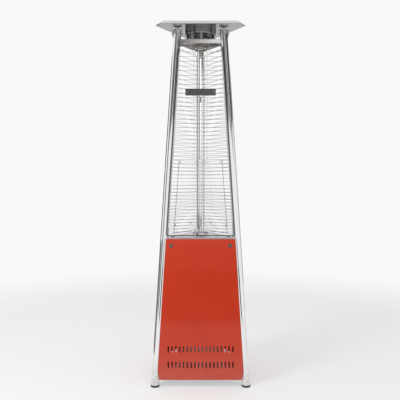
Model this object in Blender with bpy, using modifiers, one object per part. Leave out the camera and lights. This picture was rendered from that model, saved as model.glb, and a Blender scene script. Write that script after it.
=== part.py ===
"""Three-sided gas patio heater with a glass flame tube, in metres, +Z up, front towards -Y."""
import math

import bmesh
import bpy
from mathutils import Matrix, Vector

# Driving dimensions of the tower
TOTAL_HEIGHT = 2.356
POST_SPACING_FLOOR = 0.585      # between the axes of two posts at the floor
POST_SPACING_LOSS = 0.1215      # how much closer they are for each metre up
POST_RADIUS = 0.026
POST_WALL = 0.0015
POST_TOP = 2.317
FOOT_RADIUS = 0.0285
FOOT_HEIGHT = 0.012
CLEARANCE = 0.0003              # between two pieces that touch
SHEET = 0.0012

# Base cabinet
SHELF_TOP = 0.078
SHELF_OUTSET = 0.021
PANEL_BOTTOM = 0.049
PANEL_TOP = 0.945
PANEL_OUTSET = 0.025            # outer face of a panel from the plane of the post axes
PANEL_EDGE_FROM_POST = 0.012    # panel edge from the post axis
PANEL_CORNER = (0.014, 0.054)   # cut corner at the foot of a panel
SLOT_SIZE = (0.009, 0.040)
SLOT_PITCH = 0.0243
SLOT_COUNT = 18
SLOT_ROWS = (0.143, 0.242)
DECK_TOP = 0.958
DECK_FLANGE = 0.0125

# Flame tower
TUBE_RADIUS = 0.0465
TUBE_WALL = 0.004
TUBE_BOTTOM = DECK_TOP + 0.0085
TUBE_TOP = 2.215
GUARD_WIRE = 0.004
GUARD_ROD = 0.008
GUARD_OUTSET = 0.026            # middle of a guard from the plane of the post axes
GUARD_EDGE_FROM_POST = 0.011    # guard edge from the post axis, in front of the post's shoulder
GUARD_BOTTOM = DECK_TOP + 0.005
GUARD_TOP = 2.205
FIRST_WIRE = 0.991
LAST_WIRE = 2.160
WIRE_COUNT = 47
WIRE_CROWDING = 0.77            # pitch of the lowest wires over the mean pitch
BADGE_HEIGHT = 1.896
BADGE_SIZE = (0.198, 0.045)
BADGE_OUT = GUARD_OUTSET + 0.0052   # its outer face from the plane of the post axes
SHIELD_TOP = 1.468
SHIELD_THICKNESS = 0.004
SHIELD_OUTSET = 0.0230          # its outer face from the plane of the post axes
SHIELD_EDGES = (0.43, 0.70, 0.95, 0.28)   # front and rear low, rear and front high, of half a side
TOP_PLATE_HEIGHT = 2.250
TOP_PLATE_FLANGE = 0.027
SCREEN_RADIUS = 0.104
SCREEN_WINDOW = (0.024, 0.034)  # width and height of the windows at its foot
BRACKET_LEG = 0.030             # inner face of a bracket's leg from the post axis
BRACKET_BOTTOM = 2.262
BRACKET_WIDTH = 0.030
CAP_SIDE = 0.656                # side of the cap's triangle before its corners are cut
CAP_CORNER_CUT = 0.070
CAP_RIM_HEIGHT = 0.0285
CAP_RIM_INSET = 0.031
LINER_Z = TOTAL_HEIGHT - CAP_RIM_HEIGHT

# Gas bottle and its fittings
BOTTLE_RADIUS = 0.153
BOTTLE_FOOT = 0.100
BOTTLE_NECK = 0.402
BOTTLE_COLLAR_TOP = 0.530
OUTLET_TURN = 150.0             # the bottle's outlet points at the rear left side

# Door
HINGE_OFFSET = (0.008, 0.032)   # hinge axis from the post axis: along the side, outwards
HINGE_HEIGHTS = (0.200, 0.780)
HINGE_BARREL = 0.005
HINGE_LENGTH = 0.060
LATCH_HEIGHT = 0.520
LATCH_FROM_POST = 0.062
LATCH_CAM = 0.032

# Controls
KNOB_HEIGHT = 0.850
KNOB_X = -0.036
BUTTON_X = 0.040
KNOB_PUSH = 0.004

SIDE_TURN = {"front": 0.0, "rear_right": 120.0, "rear_left": -120.0}
POST_TURN = {"front_left": 210.0, "front_right": 330.0, "rear": 90.0}


def spacing(z):
    """Distance between the axes of two posts at height z."""
    return POST_SPACING_FLOOR - POST_SPACING_LOSS * z


def inradius(z):
    """Distance from the tower's axis to the plane of two post axes."""
    return spacing(z) / (2 * math.sqrt(3))


def circumradius(z):
    """Distance from the tower's axis to a post axis."""
    return spacing(z) / math.sqrt(3)


# The footprint is centred on the origin, so the tower's axis stands a little in front of it
REACH_REAR = circumradius(0.0) + FOOT_RADIUS
REACH_FRONT = inradius(0.0) + FOOT_RADIUS
TOWER_Y = -(REACH_REAR - REACH_FRONT) / 2
SIDE_TILT = math.atan(POST_SPACING_LOSS / (2 * math.sqrt(3)))
SLOPE = 1 / math.cos(SIDE_TILT)    # length up a side for each metre of height

for old in list(bpy.data.objects):
    bpy.data.objects.remove(old, do_unlink=True)

parts = bpy.data.collections.new("patio_heater")
cutters = bpy.data.collections.new("cutters")
bpy.context.scene.collection.children.link(parts)
bpy.context.scene.collection.children.link(cutters)

FINISHES = {
    "stainless": ((0.60, 0.60, 0.60), 0.25, 1.0),
    "dark_stainless": ((0.30, 0.29, 0.29), 0.28, 1.0),
    "red_enamel": ((0.50, 0.035, 0.012), 0.12, 0.0),
    "galvanized": ((0.42, 0.43, 0.44), 0.45, 1.0),
    "cast_brass": ((0.55, 0.40, 0.16), 0.35, 1.0),
    "zinc_casting": ((0.46, 0.46, 0.45), 0.50, 1.0),
    "black_plastic": ((0.025, 0.025, 0.025), 0.45, 0.0),
    "black_rubber": ((0.03, 0.03, 0.03), 0.80, 0.0),
    "borosilicate": ((0.90, 0.95, 0.95), 0.05, 0.0),
    "bottle_paint": ((0.55, 0.56, 0.57), 0.40, 0.0),
    "ceramic_white": ((0.85, 0.84, 0.80), 0.30, 0.0),
    "copper_pipe": ((0.60, 0.28, 0.18), 0.35, 1.0),
}


def makeMaterial(name):
    colour, roughness, metallic = FINISHES[name]
    made = bpy.data.materials.new(name)
    made.use_nodes = True
    shader = made.node_tree.nodes["Principled BSDF"]
    shader.inputs["Base Color"].default_value = (*colour, 1.0)
    shader.inputs["Roughness"].default_value = roughness
    shader.inputs["Metallic"].default_value = metallic
    return made


MATERIALS = {name: makeMaterial(name) for name in FINISHES}


def makeEmpty(name, location, rotation=(0, 0, 0), parent=None):
    empty = bpy.data.objects.new(name, None)
    empty.location = location
    empty.rotation_euler = rotation
    empty.parent = parent
    parts.objects.link(empty)
    return empty


def place(obj, name, finish, parent, location=(0, 0, 0), rotation=(0, 0, 0)):
    """Names an object, gives it its finish and hangs it on its parent."""
    obj.name = name
    obj.parent = parent
    obj.location = location
    obj.rotation_euler = rotation
    obj.data.materials.clear()
    obj.data.materials.append(MATERIALS[finish])
    return obj


def fromBmesh(name, bm):
    mesh = bpy.data.meshes.new(name)
    bm.to_mesh(mesh)
    bm.free()
    obj = bpy.data.objects.new(name, mesh)
    parts.objects.link(obj)
    return obj


def smooth(obj, degrees=35):
    obj.data.shade_smooth()
    obj.data.set_sharp_from_angle(angle=math.radians(degrees))
    return obj


def box(name, size, centre=(0, 0, 0)):
    bm = bmesh.new()
    bmesh.ops.create_cube(bm, size=1.0)
    bmesh.ops.scale(bm, vec=size, verts=bm.verts)
    bmesh.ops.translate(bm, vec=centre, verts=bm.verts)
    return fromBmesh(name, bm)


def cylinder(name, radius, length, segments=16, caps=True):
    """A cylinder along Z, from 0 to its length."""
    bm = bmesh.new()
    bmesh.ops.create_cone(bm, cap_ends=caps, segments=segments, radius1=radius, radius2=radius,
                          depth=length)
    bmesh.ops.translate(bm, vec=(0, 0, length / 2), verts=bm.verts)
    return fromBmesh(name, bm)


def turned(name, profile, steps=16, closed=True):
    """A profile of (radius, z) points turned about Z. It runs down its outer side."""
    mesh = bpy.data.meshes.new(name)
    count = len(profile)
    edges = [(i, i + 1) for i in range(count - 1)]
    if closed:
        edges.append((count - 1, 0))
    mesh.from_pydata([(r, 0, z) for r, z in profile], edges, [])
    obj = bpy.data.objects.new(name, mesh)
    parts.objects.link(obj)
    screw = obj.modifiers.new("Screw", "SCREW")
    screw.steps = steps
    screw.render_steps = steps
    screw.use_merge_vertices = True
    screw.merge_threshold = 0.00002
    return obj


def wire(name, points, radius, resolution=2):
    """A round wire, pipe or hose along a list of points."""
    curve = bpy.data.curves.new(name, "CURVE")
    curve.dimensions = "3D"
    spline = curve.splines.new("POLY")
    spline.points.add(len(points) - 1)
    for point, where in zip(spline.points, points):
        point.co = (*where, 1.0)
    curve.bevel_depth = radius
    curve.bevel_resolution = resolution
    curve.use_fill_caps = True
    obj = bpy.data.objects.new(name, curve)
    parts.objects.link(obj)
    return obj


def flat(name, outlines, thickness):
    """A flat plate in the XY plane, from outlines of (x, y) points, centred on its thickness."""
    curve = bpy.data.curves.new(name, "CURVE")
    curve.dimensions = "2D"
    curve.fill_mode = "BOTH"
    curve.extrude = thickness / 2
    for outline in outlines:
        spline = curve.splines.new("POLY")
        spline.points.add(len(outline) - 1)
        for point, (x, y) in zip(spline.points, outline):
            point.co = (x, y, 0.0, 1.0)
        spline.use_cyclic_u = True
    obj = bpy.data.objects.new(name, curve)
    parts.objects.link(obj)
    return obj


def asMesh(obj):
    """Turns a curve, or an object with modifiers, into a plain closed mesh object."""
    bpy.context.view_layer.update()
    evaluated = obj.evaluated_get(bpy.context.evaluated_depsgraph_get())
    mesh = bpy.data.meshes.new_from_object(evaluated)
    bm = bmesh.new()
    bm.from_mesh(mesh)
    bmesh.ops.remove_doubles(bm, verts=bm.verts, dist=0.00001)
    bmesh.ops.recalc_face_normals(bm, faces=bm.faces)
    bm.to_mesh(mesh)
    bm.free()
    name = obj.name
    made = bpy.data.objects.new(name + "_mesh", mesh)
    made.matrix_world = obj.matrix_world
    parts.objects.link(made)
    bpy.data.objects.remove(obj, do_unlink=True)
    made.name = name
    return made


def bake(obj, matrix):
    """Moves a mesh object's points, so that several shapes can share one local frame."""
    if obj.type == "CURVE" or obj.modifiers:
        obj = asMesh(obj)
    obj.data.transform(matrix)
    obj.data.update()
    return obj


def boolean(obj, others, operation):
    """Joins or cuts with plain meshes that share the object's local frame."""
    for other in others:
        if other.name not in cutters.objects:
            for owner in list(other.users_collection):
                owner.objects.unlink(other)
            cutters.objects.link(other)
        other.hide_render = True
        other.display_type = "WIRE"
        other.parent = obj.parent
        other.location = obj.location
        other.rotation_euler = obj.rotation_euler
        step = obj.modifiers.new(operation.lower(), "BOOLEAN")
        step.operation = operation
        step.solver = "EXACT"
        step.object = other
    return obj


def applied(obj):
    """Bakes an object's Booleans, and drops their cutters."""
    bpy.context.view_layer.update()
    used = [step.object for step in obj.modifiers if step.type == "BOOLEAN"]
    mesh = bpy.data.meshes.new_from_object(
        obj.evaluated_get(bpy.context.evaluated_depsgraph_get()))
    obj.modifiers.clear()
    obj.data = mesh
    for other in used:
        bpy.data.objects.remove(other, do_unlink=True)
    return obj


def arc(centre, radius, start, end, count):
    """Points on an arc, angles in degrees."""
    step = (end - start) / (count - 1)
    angles = [math.radians(start + step * i) for i in range(count)]
    return [(centre[0] + radius * math.cos(a), centre[1] + radius * math.sin(a)) for a in angles]


def triangle(side_inradius, corner_cut):
    """A triangle round the tower's axis with its corners cut square, apex to the rear."""
    outline = []
    side = side_inradius * 2 * math.sqrt(3)
    for turn in (210, 330, 90):
        along = math.radians(turn)
        corner = Vector((math.cos(along), math.sin(along))) * side / math.sqrt(3)
        for offset in (-150, 150):
            edge = math.radians(turn + offset)
            outline.append(tuple(corner + Vector((math.cos(edge), math.sin(edge))) * corner_cut))
    return outline


def cornerCut(outset):
    """The corner to cut from a plate that stands out past the posts, so it ends at their axes."""
    return (2 * outset + 0.005) / math.cos(math.radians(30))


tower = makeEmpty("tower", (0, TOWER_Y, 0))
sides = {}
for side_name, side_turn in SIDE_TURN.items():
    turn = math.radians(side_turn)
    foot = Matrix.Rotation(turn, 3, "Z") @ Vector((0, -inradius(0.0), 0))
    sides[side_name] = makeEmpty("side_" + side_name, foot, (-SIDE_TILT, 0, turn), tower)


def postAxis(post, z):
    """A point on a post's axis, from the tower's axis."""
    turn = math.radians(POST_TURN[post])
    return Vector((math.cos(turn) * circumradius(z), math.sin(turn) * circumradius(z), z))


def shear(obj, post, z):
    """Leans an upright shape, which starts at height z, along a post."""
    turn = math.radians(POST_TURN[post])
    lean = -POST_SPACING_LOSS / math.sqrt(3)
    for vertex in obj.data.vertices:
        vertex.co.x += math.cos(turn) * lean * vertex.co.z
        vertex.co.y += math.sin(turn) * lean * vertex.co.z
    obj.location = postAxis(post, z)
    return obj


def makePosts():
    for post in POST_TURN:
        height = POST_TOP - FOOT_HEIGHT - CLEARANCE
        tube = cylinder("post", POST_RADIUS, height, 24, caps=False)
        place(tube, "post_" + post, "stainless", tower)
        shear(tube, post, FOOT_HEIGHT + CLEARANCE)
        smooth(tube)
        wall = tube.modifiers.new("Wall", "SOLIDIFY")
        wall.thickness = POST_WALL
        wall.offset = -1


def makeFeet():
    bore = POST_RADIUS - POST_WALL - 0.0012
    profile = [(0, 0.036), (bore - 0.002, 0.036), (bore, 0.033), (bore, FOOT_HEIGHT),
               (FOOT_RADIUS - 0.002, FOOT_HEIGHT), (FOOT_RADIUS, FOOT_HEIGHT - 0.003),
               (FOOT_RADIUS - 0.001, 0.002), (FOOT_RADIUS - 0.004, 0.0), (0, 0.0)]
    for post in POST_TURN:
        glide = asMesh(turned("foot", profile, 20, closed=False))
        place(glide, "foot_" + post, "black_plastic", tower)
        shear(glide, post, 0.0)
        smooth(glide)


def cutCorners(plate, height, depth, gap=0.0006):
    """Cuts a plate's corners round the posts, with upright cutters at the plate's height."""
    tools = []
    for post in POST_TURN:
        tool = cylinder("post_cutter", POST_RADIUS + gap, depth * 3, 24)
        tool.data.transform(Matrix.Translation(postAxis(post, height) - Vector((0, 0, depth * 1.5))))
        tools.append(tool)
    return applied(boolean(plate, tools, "DIFFERENCE"))


def pan(name, side_inradius, corner_cut, top, flange, thickness, hole=0.0, inset=0.0):
    """A triangular sheet pan with its edges folded down, and a round hole where one is asked."""
    bm = bmesh.new()
    upper = triangle(side_inradius - inset, corner_cut - inset)
    lower = triangle(side_inradius, corner_cut)
    rims = []
    for outline, z in ((upper, top), (lower, top - flange)):
        rims.append([bm.verts.new((x, y, z)) for x, y in outline])
    count = len(upper)
    for i in range(count):
        j = (i + 1) % count
        bm.faces.new((rims[1][i], rims[1][j], rims[0][j], rims[0][i]))
    if hole:
        ring = [bm.verts.new((*p, top)) for p in arc((0, 0), hole, 0, 360, 25)[:-1]]
        edges = [bm.edges.new((ring[i - 1], ring[i])) for i in range(len(ring))]
        edges += [bm.edges.get((rims[0][i], rims[0][(i + 1) % count])) for i in range(count)]
        bmesh.ops.triangle_fill(bm, use_beauty=True, edges=edges)
    else:
        bm.faces.new(rims[0])
    bmesh.ops.recalc_face_normals(bm, faces=bm.faces)
    if max(bm.faces, key=lambda f: f.calc_center_median().z).normal.z < 0:
        bmesh.ops.reverse_faces(bm, faces=bm.faces)
    obj = fromBmesh(name, bm)
    wall = obj.modifiers.new("Wall", "SOLIDIFY")
    wall.thickness = thickness
    wall.offset = -1
    return asMesh(obj)


def sidePlate(name, outline, holes, thickness, outset):
    """A sheet on a side of the tower, from (along, height) points, its outer face at outset."""
    plate = flat(name, [outline] + holes, thickness)
    turn_up = Matrix.Rotation(math.radians(90), 4, "X")
    shift = Matrix.Translation((0, -(outset - thickness / 2), 0))
    return bake(plate, shift @ turn_up)


def rectangle(x, z, width, height):
    return [(x - width / 2, z - height / 2), (x + width / 2, z - height / 2),
            (x + width / 2, z + height / 2), (x - width / 2, z + height / 2)]


def slots():
    """The two rows of ventilation slots in each side of the cabinet."""
    holes = []
    for row in SLOT_ROWS:
        for i in range(SLOT_COUNT):
            x = (i - (SLOT_COUNT - 1) / 2) * SLOT_PITCH
            holes.append(rectangle(x, row * SLOPE, *SLOT_SIZE))
    return holes


def panelOutline(left=PANEL_EDGE_FROM_POST, right=PANEL_EDGE_FROM_POST):
    """A cabinet panel, wider at the floor, with its two lower corners cut."""
    cut_x, cut_z = PANEL_CORNER
    low, high = PANEL_BOTTOM, PANEL_TOP
    half_low = spacing(low) / 2
    half_cut = spacing(low + cut_z) / 2
    half_high = spacing(high) / 2
    return [(-half_low + left + cut_x, low * SLOPE), (half_low - right - cut_x, low * SLOPE),
            (half_cut - right, (low + cut_z) * SLOPE), (half_high - right, high * SLOPE),
            (-half_high + left, high * SLOPE), (-half_cut + left, (low + cut_z) * SLOPE)]


def makePanels():
    front = sidePlate("front", panelOutline(), slots(), SHEET, PANEL_OUTSET)
    place(front, "front_panel", "red_enamel", sides["front"])
    control_hole = [rectangle(0.0, KNOB_HEIGHT * SLOPE, 0.150, 0.060)]
    left = sidePlate("left", panelOutline(), slots() + control_hole, SHEET, PANEL_OUTSET)
    place(left, "rear_left_panel", "red_enamel", sides["rear_left"])
    for x, label in ((-0.190, "left"), (0.190, "right")):
        stud = turned("stud", [(0, 0.0030), (0.010, 0.0026), (0.0125, 0.0010),
                               (0.0125, 0.0), (0, 0.0)], 16, closed=False)
        place(stud, "panel_stud_" + label, "dark_stainless", sides["front"],
              (x, -PANEL_OUTSET - CLEARANCE, 0.902 * SLOPE), (math.radians(90), 0, 0))


def doorAxis():
    """The door's hinge axis in the frame of its side, which runs up the post at its right."""
    along, out = HINGE_OFFSET
    foot = Vector((spacing(0.0) / 2 - along, -out, 0.0))
    head = Vector((spacing(1.0) / 2 - along, -out, SLOPE))
    return foot, (head - foot).normalized()


def makeDoor():
    foot, up = doorAxis()
    lean = math.atan2(-up.x, up.z)
    hinge = makeEmpty("door_hinge", foot, (0, -lean, 0), sides["rear_right"])
    to_hinge = (Matrix.Translation(foot) @ Matrix.Rotation(-lean, 4, "Y")).inverted()
    latch_x = -spacing(LATCH_HEIGHT) / 2 + LATCH_FROM_POST
    hole = arc((latch_x, LATCH_HEIGHT * SLOPE), 0.0075, 0, 360, 13)[:-1]
    outline = panelOutline(right=PANEL_EDGE_FROM_POST + 0.004)
    door = sidePlate("door", outline, slots() + [hole], SHEET, PANEL_OUTSET)
    door.data.transform(to_hinge)
    joins = []
    for height in HINGE_HEIGHTS:
        z = height * SLOPE
        knuckle = cylinder("knuckle", HINGE_BARREL, HINGE_LENGTH * 0.4, 12)
        knuckle.data.transform(Matrix.Translation((0, 0, z + HINGE_LENGTH * 0.1)))
        leaf = box("leaf", (0.030, 0.0045, HINGE_LENGTH * 0.4),
                   centre=(-0.0165, 0.0055, z + HINGE_LENGTH * 0.3))
        bore = cylinder("bore", 0.0026, HINGE_LENGTH, 12)
        bore.data.transform(Matrix.Translation((0, 0, z - 0.01)))
        joins.append((leaf, knuckle, bore))
    for leaf, knuckle, bore in joins:
        boolean(door, [leaf, knuckle], "UNION")
        boolean(door, [bore], "DIFFERENCE")
    door = applied(door)
    place(door, "access_door", "red_enamel", hinge)
    for height, label in zip(HINGE_HEIGHTS, ("lower", "upper")):
        z = height * SLOPE
        pin = cylinder("pin", 0.0022, HINGE_LENGTH + 0.006, 12)
        place(pin, "hinge_pin_" + label, "stainless", hinge, (0, 0, z - 0.002))
        smooth(pin)
        place(makePostLeaf(z), "hinge_leaf_" + label, "stainless", hinge)


def makePostLeaf(z):
    """Two knuckles on a block that is shaped to the post, either side of the door's knuckle."""
    span = HINGE_LENGTH * 0.1 - 0.0006
    along, out = HINGE_OFFSET
    leaf = box("post_leaf", (0.012, 0.004, HINGE_LENGTH + 0.002),
               centre=(0.009, 0.0065, z + HINGE_LENGTH / 2))
    post = cylinder("post_cutter", POST_RADIUS + 0.0004, HINGE_LENGTH * 3, 32)
    post.data.transform(Matrix.Translation((along, out, z - HINGE_LENGTH)))
    tools = []
    for start, length in ((-0.001, span + 0.001), (HINGE_LENGTH * 0.5 + 0.0006, HINGE_LENGTH * 0.5)):
        knuckle = cylinder("knuckle", HINGE_BARREL, length, 12)
        knuckle.data.transform(Matrix.Translation((0, 0, z + start)))
        web = box("web", (0.012, 0.003, length), centre=(0.0055, 0.0035, z + start + length / 2))
        tools += [knuckle, web]
    boolean(leaf, tools, "UNION")
    gap = cylinder("gap", HINGE_BARREL + 0.0006, HINGE_LENGTH * 0.4 + 0.0012, 12)
    gap.data.transform(Matrix.Translation((0, 0, z + HINGE_LENGTH * 0.1 - 0.0006)))
    bore = cylinder("bore", 0.0026, HINGE_LENGTH * 2, 12)
    bore.data.transform(Matrix.Translation((0, 0, z - 0.02)))
    boolean(leaf, [gap, bore, post], "DIFFERENCE")
    return applied(leaf)


def makeShelf():
    """The bottom shelf, with a rolled ring that locates the bottle."""
    shelf = pan("shelf", inradius(SHELF_TOP) + SHELF_OUTSET, cornerCut(SHELF_OUTSET), SHELF_TOP,
                0.020, 0.0015, 0.060)
    place(cutCorners(shelf, SHELF_TOP, 0.06), "base_shelf", "galvanized", tower)
    ring = turned("ring", [(BOTTLE_FOOT + 0.008, SHELF_TOP + 0.008),
                           (BOTTLE_FOOT + 0.008, SHELF_TOP + CLEARANCE),
                           (BOTTLE_FOOT + 0.004, SHELF_TOP + CLEARANCE),
                           (BOTTLE_FOOT + 0.004, SHELF_TOP + 0.008)], 24)
    place(ring, "bottle_locating_ring", "galvanized", tower)


def makeDeck():
    """The deck under the glass tube, its edge flange, and the burner box below it."""
    deck = pan("deck", inradius(DECK_TOP) + 0.0235, cornerCut(0.0235), DECK_TOP, DECK_FLANGE,
               0.0015, 0.0405)
    place(cutCorners(deck, DECK_TOP, 0.05), "deck_plate", "stainless", tower)
    top = DECK_TOP - DECK_FLANGE - 0.002
    tray = turned("burner_box", [(0.088, DECK_TOP - 0.0020), (0.088, top - 0.055),
                                 (0.074, top - 0.070), (0.032, top - 0.070),
                                 (0.032, top - 0.0685), (0.0733, top - 0.0685),
                                 (0.0865, top - 0.0545), (0.0865, DECK_TOP - 0.0020)], 24)
    place(smooth(asMesh(tray)), "burner_box", "galvanized", tower)


def makeBurner():
    """Burner head in the deck's hole, its mixing tube, the pilot and the seat of the glass."""
    low = DECK_TOP - 0.062
    head = turned("burner_head", [(0, DECK_TOP + 0.016), (0.024, DECK_TOP + 0.014),
                                  (0.034, DECK_TOP + 0.006), (0.034, DECK_TOP - 0.012),
                                  (0.015, DECK_TOP - 0.030), (0.015, low), (0.011, low),
                                  (0.011, DECK_TOP - 0.028), (0.030, DECK_TOP - 0.011),
                                  (0.030, DECK_TOP + 0.003), (0.022, DECK_TOP + 0.010),
                                  (0, DECK_TOP + 0.012)], 20, closed=False)
    place(smooth(asMesh(head)), "burner_head", "stainless", tower)
    mixer = turned("mixing_tube", [(0.0105, low + 0.008), (0.0105, low - 0.052),
                                   (0.013, low - 0.060), (0.013, low - 0.085),
                                   (0.0045, low - 0.085), (0.0045, low - 0.082),
                                   (0.0115, low - 0.082), (0.0115, low - 0.061),
                                   (0.0085, low - 0.050), (0.0085, low + 0.008)], 16)
    place(smooth(asMesh(mixer)), "mixing_tube", "zinc_casting", tower)
    seat = turned("seat", [(TUBE_RADIUS + 0.006, DECK_TOP + 0.016),
                           (TUBE_RADIUS + 0.012, DECK_TOP + CLEARANCE),
                           (TUBE_RADIUS - 0.006, DECK_TOP + CLEARANCE),
                           (TUBE_RADIUS - 0.006, DECK_TOP + 0.004),
                           (TUBE_RADIUS + 0.004, DECK_TOP + 0.004),
                           (TUBE_RADIUS + 0.004, DECK_TOP + 0.016)], 24)
    place(smooth(asMesh(seat)), "tube_seat", "stainless", tower)
    seal = turned("seal", [(TUBE_RADIUS + 0.0005, TUBE_BOTTOM - CLEARANCE),
                           (TUBE_RADIUS + 0.0005, DECK_TOP + 0.0045),
                           (TUBE_RADIUS - TUBE_WALL - 0.0005, DECK_TOP + 0.0045),
                           (TUBE_RADIUS - TUBE_WALL - 0.0005, TUBE_BOTTOM - CLEARANCE)], 24)
    place(smooth(seal), "tube_seal", "black_rubber", tower)
    glass = cylinder("glass", TUBE_RADIUS, TUBE_TOP - TUBE_BOTTOM, 28, caps=False)
    place(smooth(glass), "glass_tube", "borosilicate", tower, (0, 0, TUBE_BOTTOM))
    wall = glass.modifiers.new("Wall", "SOLIDIFY")
    wall.thickness = TUBE_WALL
    wall.offset = -1
    makePilot()


def makePilot():
    """The spark electrode, in the gap between the burner and the glass."""
    rod = cylinder("rod", 0.0013, 0.062, 8)
    ceramic = cylinder("ceramic", 0.0024, 0.036, 10)
    boolean(ceramic, [rod], "UNION")
    place(applied(ceramic), "spark_electrode", "ceramic_white", tower,
          (-0.0365, -0.008, DECK_TOP - 0.010))


def makeTop():
    """Top plate, collar of the glass, flame screen, cap with its liner, and the cap brackets."""
    reach = inradius(TOP_PLATE_HEIGHT) + 0.010
    plate = pan("top_plate", reach, cornerCut(0.010), TOP_PLATE_HEIGHT, TOP_PLATE_FLANGE, 0.0015,
                0.052)
    place(cutCorners(plate, TOP_PLATE_HEIGHT, 0.08), "top_plate", "dark_stainless", tower)
    low = TUBE_TOP - 0.012
    collar = turned("collar", [(TUBE_RADIUS + 0.0075, TOP_PLATE_HEIGHT - 0.0022),
                               (TUBE_RADIUS + 0.0035, TOP_PLATE_HEIGHT - 0.0060),
                               (TUBE_RADIUS + 0.0035, low), (TUBE_RADIUS + 0.0015, low),
                               (TUBE_RADIUS + 0.0015, TUBE_TOP + 0.002),
                               (TUBE_RADIUS - TUBE_WALL, TUBE_TOP + 0.002),
                               (TUBE_RADIUS - TUBE_WALL, TOP_PLATE_HEIGHT - 0.0022)], 24)
    place(smooth(asMesh(collar)), "tube_collar", "stainless", tower)
    tall = LINER_Z - 0.0010 - TOP_PLATE_HEIGHT - 2 * CLEARANCE
    drum = turned("drum", [(SCREEN_RADIUS, tall), (SCREEN_RADIUS, 0.0),
                           (SCREEN_RADIUS - SHEET, 0.0), (SCREEN_RADIUS - SHEET, tall)], 32)
    drum = asMesh(drum)
    windows = []
    for i in range(5):
        width, height = SCREEN_WINDOW
        bar = box("window", (width, 0.3, height), centre=(0, 0, 0.025))
        bar.data.transform(Matrix.Rotation(math.radians(18 + 36 * i), 4, "Z"))
        windows.append(bar)
    drum = applied(boolean(drum, windows, "DIFFERENCE"))
    place(smooth(drum), "flame_screen", "dark_stainless", tower,
          (0, 0, TOP_PLATE_HEIGHT + CLEARANCE))
    cap_inradius = CAP_SIDE / (2 * math.sqrt(3))
    cap = pan("cap", cap_inradius, CAP_CORNER_CUT, TOTAL_HEIGHT, CAP_RIM_HEIGHT, SHEET,
              inset=CAP_RIM_INSET)
    place(cap, "reflector_cap", "stainless", tower)
    liner = flat("liner", [triangle(cap_inradius - 0.0030, CAP_CORNER_CUT - 0.0020)], 0.0010)
    place(asMesh(liner), "cap_liner", "stainless", tower, (0, 0, LINER_Z - 0.0002))
    makeCapBrackets()


def makeCapBrackets():
    """A bridge over each post's end that carries the cap."""
    leg = BRACKET_LEG
    top = LINER_Z - 0.0012
    low = BRACKET_BOTTOM
    for post in POST_TURN:
        outline = [(-leg - 0.002, low), (-leg, low), (-leg, top - 0.002), (leg, top - 0.002),
                   (leg, low), (leg + 0.002, low), (leg + 0.002, top), (-leg - 0.002, top)]
        bridge = asMesh(flat("bridge", [outline], BRACKET_WIDTH))
        bridge.data.transform(Matrix.Rotation(math.radians(90), 4, "X"))
        where = postAxis(post, 2.285)
        place(bridge, "cap_bracket_" + post, "stainless", tower, (where.x, where.y, 0))


def wireHeights():
    """Heights of a guard's level wires, closer together low down."""
    ways = [i / (WIRE_COUNT - 1) for i in range(WIRE_COUNT)]
    return [FIRST_WIRE + (LAST_WIRE - FIRST_WIRE) * t * (WIRE_CROWDING + (1 - WIRE_CROWDING) * t)
            for t in ways]


def guardSheet():
    """A guard drawn flat: two tapering rods with a level wire between each pair of corners."""
    wires = [(GUARD_BOTTOM, GUARD_BOTTOM + GUARD_ROD)]
    wires += [(z - GUARD_WIRE / 2, z + GUARD_WIRE / 2) for z in wireHeights()]
    wires.append((GUARD_TOP - GUARD_ROD, GUARD_TOP))
    bm = bmesh.new()
    columns = {-1: [], 1: []}
    for low, high in wires:
        corners = []
        for z, sign in ((low, -1), (low, 1), (high, 1), (high, -1)):
            half = spacing(z) / 2 - GUARD_EDGE_FROM_POST - GUARD_ROD
            corners.append(bm.verts.new((sign * half, 0, z * SLOPE)))
        bm.faces.new(corners)
        columns[-1] += [corners[0], corners[3]]
        columns[1] += [corners[1], corners[2]]
    for sign, column in columns.items():
        outer = []
        for z in (GUARD_TOP, GUARD_BOTTOM):
            half = spacing(z) / 2 - GUARD_EDGE_FROM_POST
            outer.append(bm.verts.new((sign * half, 0, z * SLOPE)))
        loop = column + outer
        bm.faces.new(loop if sign < 0 else loop[::-1])
    return fromBmesh("guard", bm)


def makeGuards():
    """Three guards in front of the posts' shoulders, and a bare badge plate on the front one."""
    for side in sides:
        guard = guardSheet()
        wall = guard.modifiers.new("Wall", "SOLIDIFY")
        wall.thickness = GUARD_WIRE
        wall.offset = 0
        place(guard, "guard_" + side, "stainless", sides[side], (0, -GUARD_OUTSET, 0))
    badge = sidePlate("badge", rounded(0.0, BADGE_HEIGHT * SLOPE, *BADGE_SIZE, 0.005), [], 0.0015,
                      BADGE_OUT)
    place(badge, "blank_badge_plate", "dark_stainless", sides["front"])


def rounded(x, z, width, height, radius):
    """A rectangle with round corners."""
    w, h = width / 2 - radius, height / 2 - radius
    points = []
    for cx, cz, start in ((w, h, 0), (-w, h, 90), (-w, -h, 180), (w, -h, 270)):
        points += arc((x + cx, z + cz), radius, start, start + 90, 4)
    return points


def makeShields():
    """Clear panes inside the two rear guards, against wind on the lower part of the flame."""
    for side, mirror in (("rear_left", 1), ("rear_right", -1)):
        low, high = DECK_TOP + 0.004, SHIELD_TOP
        half_low = spacing(low) / 2 - POST_RADIUS
        half_high = spacing(high) / 2 - POST_RADIUS
        front_low, rear_low, rear_high, front_high = SHIELD_EDGES
        corners = [(half_low * front_low, low), (-half_low * rear_low, low),
                   (-half_high * rear_high, high), (half_high * front_high, high)]
        outline = [(mirror * x, z * SLOPE) for x, z in corners]
        pane = sidePlate("pane", outline, [], SHIELD_THICKNESS, SHIELD_OUTSET)
        place(pane, "wind_shield_" + side[5:], "borosilicate", sides[side])


def axisEmpty(name, side, x, height):
    """An empty on a side of the tower whose Z points straight out of it."""
    return makeEmpty(name, (x, 0, height * SLOPE), (math.radians(90), 0, 0), sides[side])


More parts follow.
